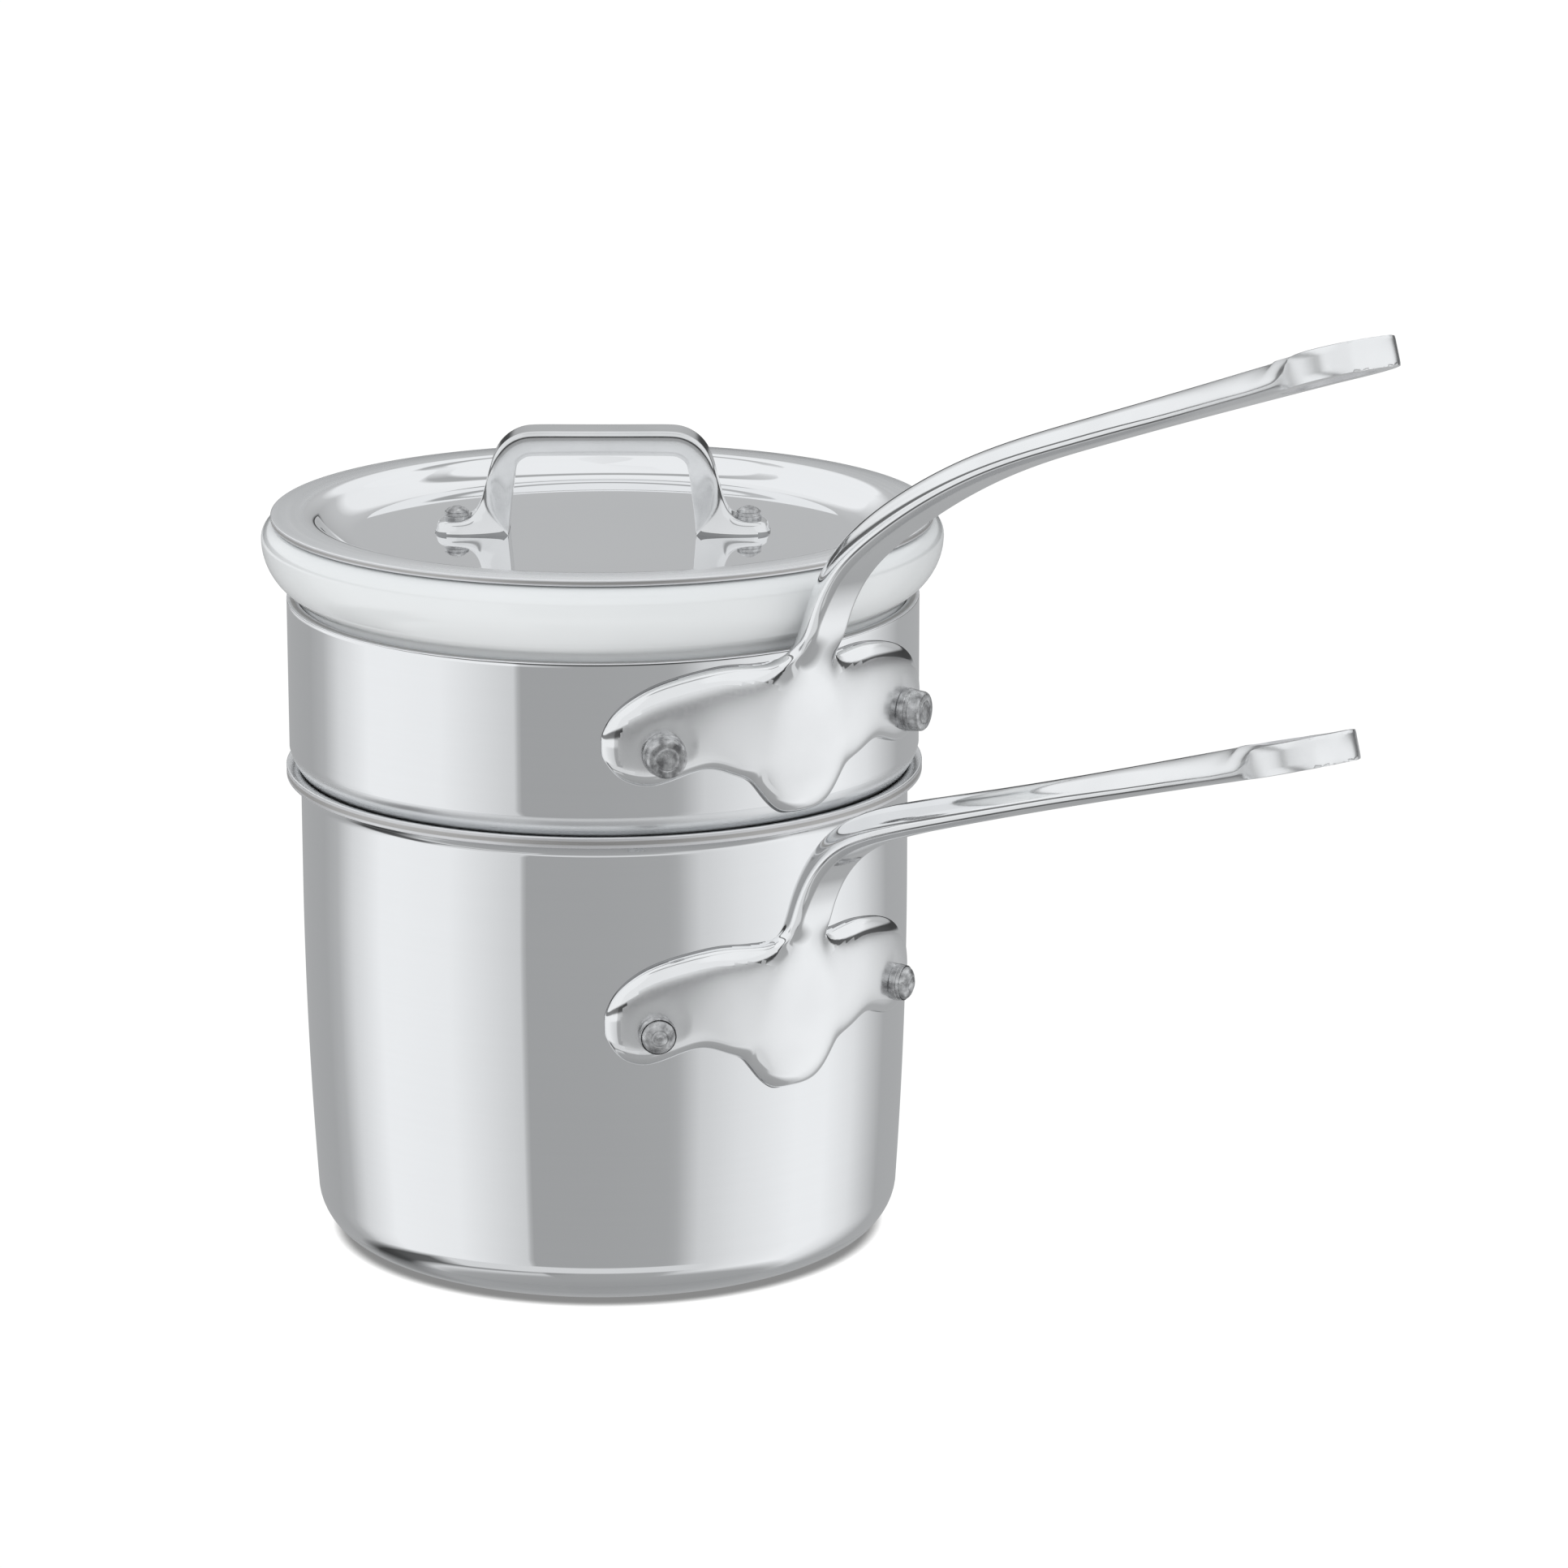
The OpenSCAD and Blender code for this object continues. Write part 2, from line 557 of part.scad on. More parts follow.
// A rivet through a wall with this inside radius and the plate on it
module wall_rivet(side, inner_r, line_r, z, head_d, head_h) {
    on_wall(side, line_r, z)
        rivet(shank_d, sqrt(pow(inner_r, 2) - pow(inner_head_d / 2, 2)), line_r + plate_t / 2,
              inner_head_d, head_d, head_h);
}

module pan_rivet(side) {
    color("dimgray") wall_rivet(side, pan_line_r - plate_t / 2 - sheet_t, pan_line_r, pan_rivet_z,
                                pan_head_d, pan_head_h);
}

module ring_rivet(side) {
    color("dimgray") wall_rivet(side, ring_bore_r, ring_line_r, ring_rivet_z, ring_head_d, ring_head_h);
}

module lid_handle() {
    leg = [-leg_pitch / 2, disc_z + foot_t / 2, leg_a, 0];
    bar_z = disc_z + bar_top - bar_t / 2;
    leg_l = (bar_z - leg[1] - bar_bend_r * (1 - cos(leg_a))) / sin(leg_a);
    rise = concat([leg], straight_run(leg, leg_l, leg_n));
    bent = bent_run(last(rise), bar_bend_r, leg_a, end_n);
    half = concat(rise, bent, straight_run(last(bent), -last(bent)[0], bar_n));
    back = [for (i = [len(half) - 2 : -1 : 0]) [-half[i][0], half[i][1], -half[i][2], half[i][3]]];
    depths = [[0, leg_base_t], [leg_l / 2, bar_t + leg_flare / 4], [leg_l, bar_t]];
    whole = concat(half, back);
    color("lightgray") on_lid() difference() {
        union() {
            swept(whole, [for (p = whole) full_section(bar_w, lookup(p[3], depths))]);
            for (side = [-1, 1]) translate([side * lid_rivet_pitch / 2, 0, disc_z]) {
                cylinder(d = foot_w, h = foot_t);
                translate([side > 0 ? foot_w / 2 - foot_l : 0, -foot_w / 2, 0])
                    cube([foot_l - foot_w / 2, foot_w, foot_t]);
            }
        }
        lid_rivet_holes();
    }
}

module lid_rivet(side) {
    color("dimgray") on_lid() translate([side * lid_rivet_pitch / 2, 0, 0])
        rivet(lid_shank_d, disc_z - lid_t, disc_z + foot_t, lid_inner_head_d, lid_head_d, lid_head_h);
}

water_pan();
pan_handle();
pan_rivet(1);  // pan_rivet_left
pan_rivet(-1);  // pan_rivet_right
steel_ring();
ring_handle();
ring_rivet(1);  // ring_rivet_left
ring_rivet(-1);  // ring_rivet_right
porcelain_bowl();
lid();
lid_handle();
lid_rivet(1);  // lid_rivet_left
lid_rivet(-1);  // lid_rivet_right
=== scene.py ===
import math
import bmesh
import bpy
from mathutils import Matrix, Vector


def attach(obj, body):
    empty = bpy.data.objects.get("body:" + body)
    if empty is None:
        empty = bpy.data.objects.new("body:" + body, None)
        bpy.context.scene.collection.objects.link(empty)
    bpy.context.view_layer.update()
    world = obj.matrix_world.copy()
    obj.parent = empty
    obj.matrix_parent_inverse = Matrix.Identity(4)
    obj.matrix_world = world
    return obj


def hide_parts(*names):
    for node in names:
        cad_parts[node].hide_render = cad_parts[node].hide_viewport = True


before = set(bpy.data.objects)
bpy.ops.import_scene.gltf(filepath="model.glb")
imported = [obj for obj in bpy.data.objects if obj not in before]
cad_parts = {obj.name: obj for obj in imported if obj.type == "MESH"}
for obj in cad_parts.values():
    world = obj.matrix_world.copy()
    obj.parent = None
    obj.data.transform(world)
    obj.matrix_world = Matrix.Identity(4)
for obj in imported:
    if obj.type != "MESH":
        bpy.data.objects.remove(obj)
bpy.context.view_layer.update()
mm = 0.001
print("frame loaded")

# how finely the pieces are worked: steps of a turn, merging in mm, corners kept sharp in degrees
shop = {"turnSteps": 192, "rivetSteps": 48, "mergeReach": 0.01, "turnedCorner": 32, "castCorner": 50,
        "smoothLevels": 3}


# small helpers for working by hand

def clearSelection():
    if bpy.context.object and bpy.context.object.mode != 'OBJECT':
        bpy.ops.object.mode_set(mode='OBJECT')
    bpy.ops.object.select_all(action='DESELECT')


def only(piece):
    clearSelection()
    piece.select_set(True)
    bpy.context.view_layer.objects.active = piece


def arcPoints(centre, radius, start, stop, steps):
    turns = [math.radians(start + (stop - start) * i / steps) for i in range(steps + 1)]
    return [(centre[0] + radius * math.cos(a), centre[1] + radius * math.sin(a)) for a in turns]


def between(table, at):
    # reads a value off a list of (place, value) pairs
    for (a, va), (b, vb) in zip(table, table[1:]):
        if at <= b:
            return va + (vb - va) * max(0, (at - a) / (b - a))
    return table[-1][1]


def turnPiece(name, profile, steps=shop["turnSteps"]):
    # a point is pulled along the profile and spun round the axis, as on a lathe
    clearSelection()
    bpy.ops.mesh.primitive_plane_add(size=mm, location=(0, 0, 0))
    piece = bpy.context.object
    piece.name = name
    bpy.ops.object.mode_set(mode='EDIT')
    bpy.ops.mesh.select_all(action='SELECT')
    bpy.ops.mesh.merge(type='CENTER')
    bpy.ops.mesh.select_all(action='SELECT')
    place = (0, 0)
    for i, (r, z) in enumerate(profile):
        step = {"value": ((r - place[0]) * mm, 0, (z - place[1]) * mm)}
        if i == 0:
            bpy.ops.transform.translate(**step)
        else:
            bpy.ops.mesh.extrude_vertices_move(TRANSFORM_OT_translate=step)
        place = (r, z)
    bpy.ops.mesh.select_all(action='SELECT')
    bpy.ops.mesh.spin(steps=steps, angle=2 * math.pi, center=(0, 0, 0), axis=(0, 0, 1))
    bpy.ops.mesh.select_all(action='SELECT')
    bpy.ops.mesh.remove_doubles(threshold=shop["mergeReach"] * mm)
    bpy.ops.mesh.normals_make_consistent(inside=False)
    bpy.ops.object.mode_set(mode='OBJECT')
    bpy.ops.object.shade_smooth_by_angle(angle=math.radians(shop["turnedCorner"]))
    return piece


def giveMaterials(piece, first, *others):
    # others are (material, test) pairs; a test looks at a face's middle and normal, in mm
    piece.data.materials.clear()
    piece.data.materials.append(first)
    for material, test in others:
        piece.data.materials.append(material)
        number = len(piece.data.materials) - 1
        for face in piece.data.polygons:
            if test(face.center / mm, face.normal):
                face.material_index = number


def dress(piece, body, slot, *nodes):
    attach(piece, body)
    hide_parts(*nodes)
    return piece


# small helpers for node trees

def mathNode(tree, operation, a, b=None, c=None):
    node = tree.nodes.new("ShaderNodeMath")
    node.operation = operation
    for socket, value in zip(node.inputs, (a, b, c)):
        if value is None:
            continue
        if isinstance(value, (int, float)):
            socket.default_value = value
        else:
            tree.links.new(value, socket)
    return node.outputs[0]


def noiseNode(tree, vector, scale, detail, rough=0.55):
    node = tree.nodes.new("ShaderNodeTexNoise")
    node.inputs["Detail"].default_value = detail
    node.inputs["Roughness"].default_value = rough
    tree.links.new(scale, node.inputs["Scale"])
    tree.links.new(vector, node.inputs["Vector"])
    return node.outputs["Fac"]


def rampNode(tree, position, stops, scale):
    # a list of (position, value) read off along the position, values up to the scale
    node = tree.nodes.new("ShaderNodeValToRGB")
    places = node.color_ramp.elements
    while len(places) < len(stops):
        places.new(0.5)
    for place, (at, value) in zip(places, stops):
        place.position = at
    for place, (at, value) in zip(places, stops):
        place.color = (value / scale, value / scale, value / scale, 1)
    tree.links.new(position, node.inputs["Fac"])
    return mathNode(tree, 'MULTIPLY', node.outputs["Color"], scale)


def spread(tree, value, low, high, fromLow=0.3, fromHigh=0.7):
    node = tree.nodes.new("ShaderNodeMapRange")
    tree.links.new(value, node.inputs["Value"])
    for title, number in (("From Min", fromLow), ("From Max", fromHigh), ("To Min", low), ("To Max", high)):
        node.inputs[title].default_value = number
    return node.outputs["Result"]


def tint(tree, value, dark, light):
    node = tree.nodes.new("ShaderNodeMix")
    node.data_type = 'RGBA'
    node.inputs["A"].default_value = (*dark, 1)
    node.inputs["B"].default_value = (*light, 1)
    tree.links.new(value, node.inputs["Factor"])
    return node.outputs["Result"]


def bump(tree, shader, height, depth, strength=1.0):
    node = tree.nodes.new("ShaderNodeBump")
    node.inputs["Strength"].default_value = strength
    node.inputs["Distance"].default_value = depth
    tree.links.new(height, node.inputs["Height"])
    tree.links.new(node.outputs["Normal"], shader.inputs["Normal"])


def objectPlace(tree):
    return tree.nodes.new("ShaderNodeTexCoord").outputs["Object"]


def splitPlace(tree, place):
    split = tree.nodes.new("ShaderNodeSeparateXYZ")
    tree.links.new(place, split.inputs[0])
    return split.outputs


def fromAxis(tree, xyz):
    x2 = mathNode(tree, 'MULTIPLY', xyz[0], xyz[0])
    return mathNode(tree, 'SQRT', mathNode(tree, 'MULTIPLY_ADD', xyz[1], xyz[1], x2))


def finishByRay(tree, outputNode, ray, usual, special):
    # the special shader is seen by this kind of ray alone
    path = tree.nodes.new("ShaderNodeLightPath")
    mix = tree.nodes.new("ShaderNodeMixShader")
    tree.links.new(path.outputs[ray], mix.inputs["Fac"])
    tree.links.new(usual.outputs[0], mix.inputs[1])
    tree.links.new(special.outputs[0], mix.inputs[2])
    out = tree.nodes.new(outputNode)
    tree.links.new(mix.outputs[0], out.inputs["Surface"])


# camera at the photograph's place

cameraSetup = {"place": (1.1450, -0.8306, 0.4738), "target": (0.02628, 0.0340, 0.1089), "lens": 139.75,
               "sensor": 36, "near": 0.05}


def addCamera(setup):
    data = bpy.data.cameras.new("photoCamera")
    data.lens = setup["lens"]
    data.sensor_width = setup["sensor"]
    data.clip_start = setup["near"]
    camera = bpy.data.objects.new("photoCamera", data)
    bpy.context.scene.collection.objects.link(camera)
    camera.location = setup["place"]
    look = Vector(setup["target"]) - Vector(setup["place"])
    camera.rotation_euler = look.to_track_quat('-Z', 'Y').to_euler()
    bpy.context.scene.camera = camera


# studio: bright panels at both sides, grey ones in front and behind, all fixed in the room

studio = {
    "frontAngle": -37.7,      # where the photographer stands, seen from above
    # angle round the room from the front, and how bright the panel is there
    "panels": [(-180, 0.42), (-132, 0.40), (-121, 0.47), (-110, 0.72), (-92, 0.94), (-60, 0.90), (-36, 0.70),
               (-30.5, 0.66), (-29, 0.38), (0, 0.385), (25, 0.40), (29, 0.43), (38, 0.66), (55, 0.80),
               (90, 0.98), (112, 0.80), (124, 0.60), (136, 0.42), (180, 0.42)],
    # height (-1 down, 1 up) and how much brighter the panels are there: dark gaps between bright fields
    "bands": [(-1, 0.95), (-0.120, 1.0), (-0.085, 0.14), (0.04, 0.12), (0.09, 1.05), (0.25, 1.25),
              (0.33, 1.35), (0.42, 2.1), (0.76, 2.2), (0.79, 1.0), (0.84, 1.0), (0.87, 2.2), (1, 2.2)],
    # the same again for the left side alone
    "leftBands": [(-1, 1.0), (-0.80, 0.95), (-0.74, 0.15), (-0.64, 0.12), (-0.56, 1.0), (-0.205, 1.0),
                  (-0.19, 1.9), (1, 1.9)],
    # a light from the front, by height
    "frontBands": [(-1, 0), (-0.76, 0), (-0.72, 0.7), (-0.56, 0.7), (-0.50, 0), (0.01, 0), (0.06, 0.85),
                   (0.62, 0.85), (0.80, 0), (1, 0)],
    # nothing in the room is brighter than this, by height
    "brightest": [(-1, 0.34), (-0.85, 0.38), (-0.74, 0.92), (1, 0.92)],
    "rampScales": {"bands": 2.5, "leftBands": 2, "frontBands": 1, "brightest": 1},
    "leftSide": (-0.55, -0.15),       # where the left side begins and ends, across the room
    "frontSide": (0.0, 0.25),         # the same for the front light, along the room
    "roomTint": (0.985, 1, 1.015, 1), "backdropTint": (1, 1, 1, 1), "backdropLight": 1.05,
    "floorSize": 6.0, "shadowReach": 0.0030, "shadowRays": 12,
    "openness": (0.35, 0.97), "floorLight": (0.25, 1.03),
    "lampPlace": (0.55, -1.0, 1.5), "lampTarget": (0, 0, 0.15), "lampSize": 1.2, "lampPower": 5,
}


def addRoom(setup):
    world = bpy.data.worlds.new("studio")
    bpy.context.scene.world = world
    world.use_nodes = True
    tree = world.node_tree
    nodes, links = tree.nodes, tree.links
    nodes.clear()
    place = nodes.new("ShaderNodeTexCoord")
    turn = nodes.new("ShaderNodeMapping")
    turn.inputs["Rotation"].default_value = (0, 0, -math.radians(setup["frontAngle"]))
    links.new(place.outputs["Generated"], turn.inputs["Vector"])
    around = nodes.new("ShaderNodeTexGradient")
    around.gradient_type = 'RADIAL'
    links.new(turn.outputs["Vector"], around.inputs["Vector"])
    xyz = splitPlace(tree, turn.outputs["Vector"])
    raised = mathNode(tree, 'MULTIPLY_ADD', xyz[2], 0.5, 0.5)
    byHeight = {}
    for name, scale in setup["rampScales"].items():
        stops = [(z / 2 + 0.5, value) for z, value in setup[name]]
        byHeight[name] = rampNode(tree, raised, stops, scale)
    stops = [(angle / 360 + 0.5, value) for angle, value in setup["panels"]]
    panels = rampNode(tree, around.outputs["Fac"], stops, 1)
    left = spread(tree, xyz[1], 1, 0, *setup["leftSide"])
    front = spread(tree, xyz[0], 0, 1, *setup["frontSide"])
    onLeft = mathNode(tree, 'SUBTRACT', byHeight["leftBands"], 1.0)
    onLeft = mathNode(tree, 'MULTIPLY_ADD', onLeft, left, 1.0)
    light = mathNode(tree, 'MULTIPLY', mathNode(tree, 'MULTIPLY', panels, byHeight["bands"]), onLeft)
    light = mathNode(tree, 'MINIMUM', light, byHeight["brightest"])
    light = mathNode(tree, 'MAXIMUM', light, mathNode(tree, 'MULTIPLY', front, byHeight["frontBands"]))
    room = nodes.new("ShaderNodeBackground")
    room.inputs["Color"].default_value = setup["roomTint"]
    links.new(light, room.inputs["Strength"])
    backdrop = nodes.new("ShaderNodeBackground")
    backdrop.inputs["Strength"].default_value = setup["backdropLight"]
    backdrop.inputs["Color"].default_value = setup["backdropTint"]
    finishByRay(tree, "ShaderNodeOutputWorld", "Is Camera Ray", room, backdrop)


def addFloor(setup):
    # pale paper with a narrow contact shadow, left out of the mirror faces
    clearSelection()
    bpy.ops.mesh.primitive_plane_add(size=setup["floorSize"], location=(0, 0, 0))
    floor = bpy.context.object
    floor.name = "floor"
    paper = bpy.data.materials.new("paleFloor")
    paper.use_nodes = True
    tree = paper.node_tree
    nodes = tree.nodes
    nodes.clear()
    near = nodes.new("ShaderNodeAmbientOcclusion")
    near.inputs["Distance"].default_value = setup["shadowReach"]
    near.samples = setup["shadowRays"]
    lit = nodes.new("ShaderNodeEmission")
    light = spread(tree, near.outputs["AO"], *setup["floorLight"], *setup["openness"])
    tree.links.new(light, lit.inputs["Strength"])
    clear = nodes.new("ShaderNodeBsdfTransparent")
    finishByRay(tree, "ShaderNodeOutputMaterial", "Is Glossy Ray", lit, clear)
    floor.data.materials.append(paper)


def addLamp(setup):
    clearSelection()
    bpy.ops.object.light_add(type='AREA', location=setup["lampPlace"])
    lamp = bpy.context.object
    lamp.data.shape = 'DISK'
    lamp.data.size = setup["lampSize"]
    lamp.data.energy = setup["lampPower"]
    lamp.visible_glossy = False
    aim = Vector(setup["lampTarget"]) - lamp.location
    lamp.rotation_euler = aim.to_track_quat('-Z', 'Y').to_euler()


def addStudio(setup):
    bpy.context.scene.view_settings.view_transform = 'Standard'
    addRoom(setup)
    addFloor(setup)
    addLamp(setup)
    print("studio ready")


# materials

groups = {}      # the shared effects, by name
made = {}        # the finished materials, by name
# how detailed the shared effects are, how far a line drifts along x, and what each does to the steel
grainShape = {"lineDetail": 2.0, "patchDetail": 4.0, "drift": 0.02, "lineShare": 0.6, "patchShare": 0.4,
              "swellDetail": 2.0, "pitDetail": 5.0, "pitRough": 0.7}

steelLooks = {
    # roughness from, to; line depth in mm; dark and light tone
    "polishedSteel": (0.022, 0.034, 0.0001, (0.895, 0.90, 0.907), (0.905, 0.91, 0.917)),
    "satinSteel": (0.22, 0.30, 0.0010, (0.80, 0.81, 0.82), (0.86, 0.865, 0.87)),
    "brushedSteel": (0.15, 0.24, 0.0016, (0.80, 0.81, 0.82), (0.87, 0.875, 0.88)),
}
# the cut sheet's edge: the core's inner and outer limit are shares of the sheet, measured from its middle
cutLook = {"skin": (0.80, 0.80, 0.81), "core": (0.52, 0.51, 0.50), "coreTo": (0.14, 0.24), "lines": 1500.0,
           "rough": (0.28, 0.5), "depth": 0.01}
castLooks = {
    # roughness from, to; depths of swell and pits in mm; dark and light tone; fineness of pits and swell
    "polishedCast": (0.05, 0.09, 0.008, 0.0004, (0.885, 0.89, 0.895), (0.925, 0.93, 0.935), 1400.0, 60.0),
    "gripCast": (0.07, 0.13, 0.008, 0.0004, (0.74, 0.745, 0.75), (0.84, 0.845, 0.85), 1400.0, 60.0),
    "satinCast": (0.22, 0.27, 0.010, 0.0005, (0.90, 0.905, 0.91), (0.94, 0.945, 0.95), 1400.0, 60.0),
    # this dark cast is painted shade: its dark tone stands in for the shade where the plate meets the wall and
    # under the lid handle's feet
    "paintedShadeCast": (0.10, 0.20, 0.010, 0.0020, (0.16, 0.16, 0.165), (0.34, 0.345, 0.35), 1400.0, 60.0),
    "roughCast": (0.30, 0.5, 0.03, 0.03, (0.55, 0.55, 0.56), (0.78, 0.78, 0.79), 900.0, 60.0),
    "rivetMetal": (0.20, 0.42, 0.10, 0.07, (0.22, 0.22, 0.225), (0.70, 0.705, 0.71), 1100.0, 450.0),
}
# the hanging ends are less polished: from this distance, in mm, over this length, up to this roughness
softEnds = {"polishedCast": (198, 24, 0.26)}
glazeLook = {"dark": (0.78, 0.80, 0.805), "light": (0.82, 0.835, 0.84), "rough": (0.07, 0.13), "swell": 40.0,
             "pits": 500.0, "depth": 0.05, "strength": 0.6, "coat": 0.5, "coatRough": 0.03, "ior": 1.52}


def makeGroup(name, inputs, outputs):
    group = bpy.data.node_groups.new(name, 'ShaderNodeTree')
    for title, value in inputs:
        socket = group.interface.new_socket(title, in_out='INPUT', socket_type='NodeSocketFloat')
        socket.default_value = value
    for title in outputs:
        group.interface.new_socket(title, in_out='OUTPUT', socket_type='NodeSocketFloat')
    return group, group.nodes.new("NodeGroupInput"), group.nodes.new("NodeGroupOutput")


def makeTurnedLines():
    # fine lines that run round the axis, as polishing on a lathe leaves them
    inputs = [("Scale", 900.0), ("Patch Scale", 14.0)]
    group, given, out = makeGroup("turnedLines", inputs, ["Lines", "Patches"])
    place = objectPlace(group)
    xyz = splitPlace(group, place)
    line = group.nodes.new("ShaderNodeCombineXYZ")
    group.links.new(fromAxis(group, xyz), line.inputs[0])
    group.links.new(mathNode(group, 'MULTIPLY', xyz[0], grainShape["drift"]), line.inputs[1])
    group.links.new(xyz[2], line.inputs[2])
    lines = noiseNode(group, line.outputs[0], given.outputs["Scale"], grainShape["lineDetail"])
    group.links.new(lines, out.inputs["Lines"])
    patches = noiseNode(group, place, given.outputs["Patch Scale"], grainShape["patchDetail"])
    group.links.new(patches, out.inputs["Patches"])
    return group


def makeCastGrain():
    # soft unevenness and fine pits of a polished casting
    inputs = [("Swell Scale", 60.0), ("Pit Scale", 1400.0)]
    group, given, out = makeGroup("castGrain", inputs, ["Swell", "Pits"])
    place = objectPlace(group)
    swell = noiseNode(group, place, given.outputs["Swell Scale"], grainShape["swellDetail"])
    pits = noiseNode(group, place, given.outputs["Pit Scale"], grainShape["pitDetail"], grainShape["pitRough"])
    group.links.new(swell, out.inputs["Swell"])
    group.links.new(pits, out.inputs["Pits"])
    return group


def startMaterial(name, metallic, groupName, **values):
    material = bpy.data.materials.new(name)
    material.use_nodes = True
    tree = material.node_tree
    shader = next(n for n in tree.nodes if n.type == 'BSDF_PRINCIPLED')
    shader.inputs["Metallic"].default_value = metallic
    effect = tree.nodes.new("ShaderNodeGroup")
    effect.node_tree = groups[groupName]
    for title, value in values.items():
        effect.inputs[title].default_value = value
    return material, tree, shader, effect


def makeTurnedSteel(name, roughLow, roughHigh, depth, dark, light):
    material, tree, shader, lines = startMaterial(name, 1, "turnedLines")
    patches = mathNode(tree, 'MULTIPLY', lines.outputs["Patches"], grainShape["patchShare"])
    amount = mathNode(tree, 'MULTIPLY_ADD', lines.outputs["Lines"], grainShape["lineShare"], patches)
    tree.links.new(spread(tree, amount, roughLow, roughHigh), shader.inputs["Roughness"])
    tree.links.new(tint(tree, spread(tree, amount, 0, 1), dark, light), shader.inputs["Base Color"])
    bump(tree, shader, lines.outputs["Lines"], depth * mm)
    return material


def makeCutEdge(name, low, high, byHeight):
    # the cut sheet's edge, with the darker core between two skins of steel
    look = cutLook
    material, tree, shader, lines = startMaterial(name, 1, "turnedLines", Scale=look["lines"])
    xyz = splitPlace(tree, objectPlace(tree))
    across = xyz[2] if byHeight else fromAxis(tree, xyz)
    off = mathNode(tree, 'ABSOLUTE', mathNode(tree, 'SUBTRACT', across, (low + high) / 2 * mm))
    inner, outer = ((high - low) * share * mm for share in look["coreTo"])
    core = spread(tree, off, 1, 0, inner, outer)
    tree.links.new(tint(tree, core, look["skin"], look["core"]), shader.inputs["Base Color"])
    tree.links.new(spread(tree, lines.outputs["Lines"], *look["rough"]), shader.inputs["Roughness"])
    bump(tree, shader, lines.outputs["Lines"], look["depth"] * mm)
    return material


def makeCast(name, roughLow, roughHigh, swellDepth, pitDepth, dark, light, pitScale, swellScale):
    scales = {"Pit Scale": pitScale, "Swell Scale": swellScale}
    material, tree, shader, grain = startMaterial(name, 1, "castGrain", **scales)
    rough = spread(tree, grain.outputs["Pits"], roughLow, roughHigh)
    if name in softEnds:
        start, length, most = softEnds[name]
        xyz = splitPlace(tree, objectPlace(tree))
        soft = spread(tree, xyz[0], roughLow, most, start * mm, (start + length) * mm)
        rough = mathNode(tree, 'MAXIMUM', rough, soft)
    tree.links.new(rough, shader.inputs["Roughness"])
    tone = spread(tree, grain.outputs["Swell"], 0, 1)
    tree.links.new(tint(tree, tone, dark, light), shader.inputs["Base Color"])
    height = mathNode(tree, 'MULTIPLY_ADD', grain.outputs["Swell"], swellDepth * mm,
                      mathNode(tree, 'MULTIPLY', grain.outputs["Pits"], pitDepth * mm))
    bump(tree, shader, height, 1.0)
    return material


def makeGlaze(name, look):
    scales = {"Swell Scale": look["swell"], "Pit Scale": look["pits"]}
    material, tree, shader, grain = startMaterial(name, 0, "castGrain", **scales)
    shader.inputs["Coat Weight"].default_value = look["coat"]
    shader.inputs["Coat Roughness"].default_value = look["coatRough"]
    shader.inputs["IOR"].default_value = look["ior"]
    tone = tint(tree, grain.outputs["Swell"], look["dark"], look["light"])
    tree.links.new(tone, shader.inputs["Base Color"])
    tree.links.new(spread(tree, grain.outputs["Pits"], *look["rough"]), shader.inputs["Roughness"])
    bump(tree, shader, grain.outputs["Swell"], look["depth"] * mm, look["strength"])
    return material


def makeMaterials():
    groups["turnedLines"] = makeTurnedLines()
    groups["castGrain"] = makeCastGrain()
    for name, values in steelLooks.items():
        made[name] = makeTurnedSteel(name, *values)
    # the cut edges, from and to in mm, by height or by distance from the axis
    for name, low, high, byHeight in (
            ("lipEdge", panSize["top"] - sheet, panSize["top"], True),
            ("ringEdge", ringSize["radius"] - sheet, ringSize["radius"], False),
            ("lidEdge", lidSize["bottom"], lidSize["bottom"] + lidSize["sheet"], True)):
        made[name] = makeCutEdge(name, low, high, byHeight)
    for name, values in castLooks.items():
        made[name] = makeCast(name, *values)
    made["whiteGlaze"] = makeGlaze("whiteGlaze", glazeLook)
    print("materials ready")


# vessels: radii and heights in mm, turned on one axis

sheet = 2.6
panSize = {
    "wall": 72.6, "top": 115.8, "corner": 12.0, "draw": 2.4, "straightFrom": 87.8, "lipBend": 6.0,
    "lipTurn": 94, "lowerRound": 0.25, "upperRound": 0.3,
    "baseRise": 0.25, "baseRing": (8, 6.5),      # the foot's raised middle ends this far inside the corner
    # where its finishes change, in mm, and how squarely a face looks up
    "baseTo": 0.4, "satinFrom": 4.4, "satinFacing": 0.3, "edgeReach": 0.2, "edgeFacing": 0.6,
}
ringSize = {
    "radius": 75.2, "crease": 120.1, "top": 156.3, "spigotFoot": 100.0, "gap": 0.3, "shoulderTurn": 122,
    "bulge": (0.28, -0.14), "bulgeSteps": 8, "creaseRound": 0.15, "edgeRound": 0.25, "footBevel": 0.3,
    "hold": 1.2, "boreHold": 2.2,                # extra points near corners keep the long walls even
    "boreReach": 0.5, "topReach": 0.1,           # faces this near the bore or the top take its finish
}
bowlSize = {
    "neck": 72.3, "rim": 80.9, "rimMiddle": 170.6, "rimTop": 174.6, "underRound": 14.0, "edgeRound": 4.0,
    "hollow": 2.2, "wall": 5.0, "foot": 86.6, "waist": 65.6, "waistHeight": 112.8, "footRadius": 63.1,
    "corner": 20.0, "mouthRound": 4.0, "neckBottom": 152.3, "neckBevel": (0.02, 0.6),
    "footRing": [(6, 1.0), (4.5, 0.3), (3.5, 0)],      # in from the corner and up from the foot
}
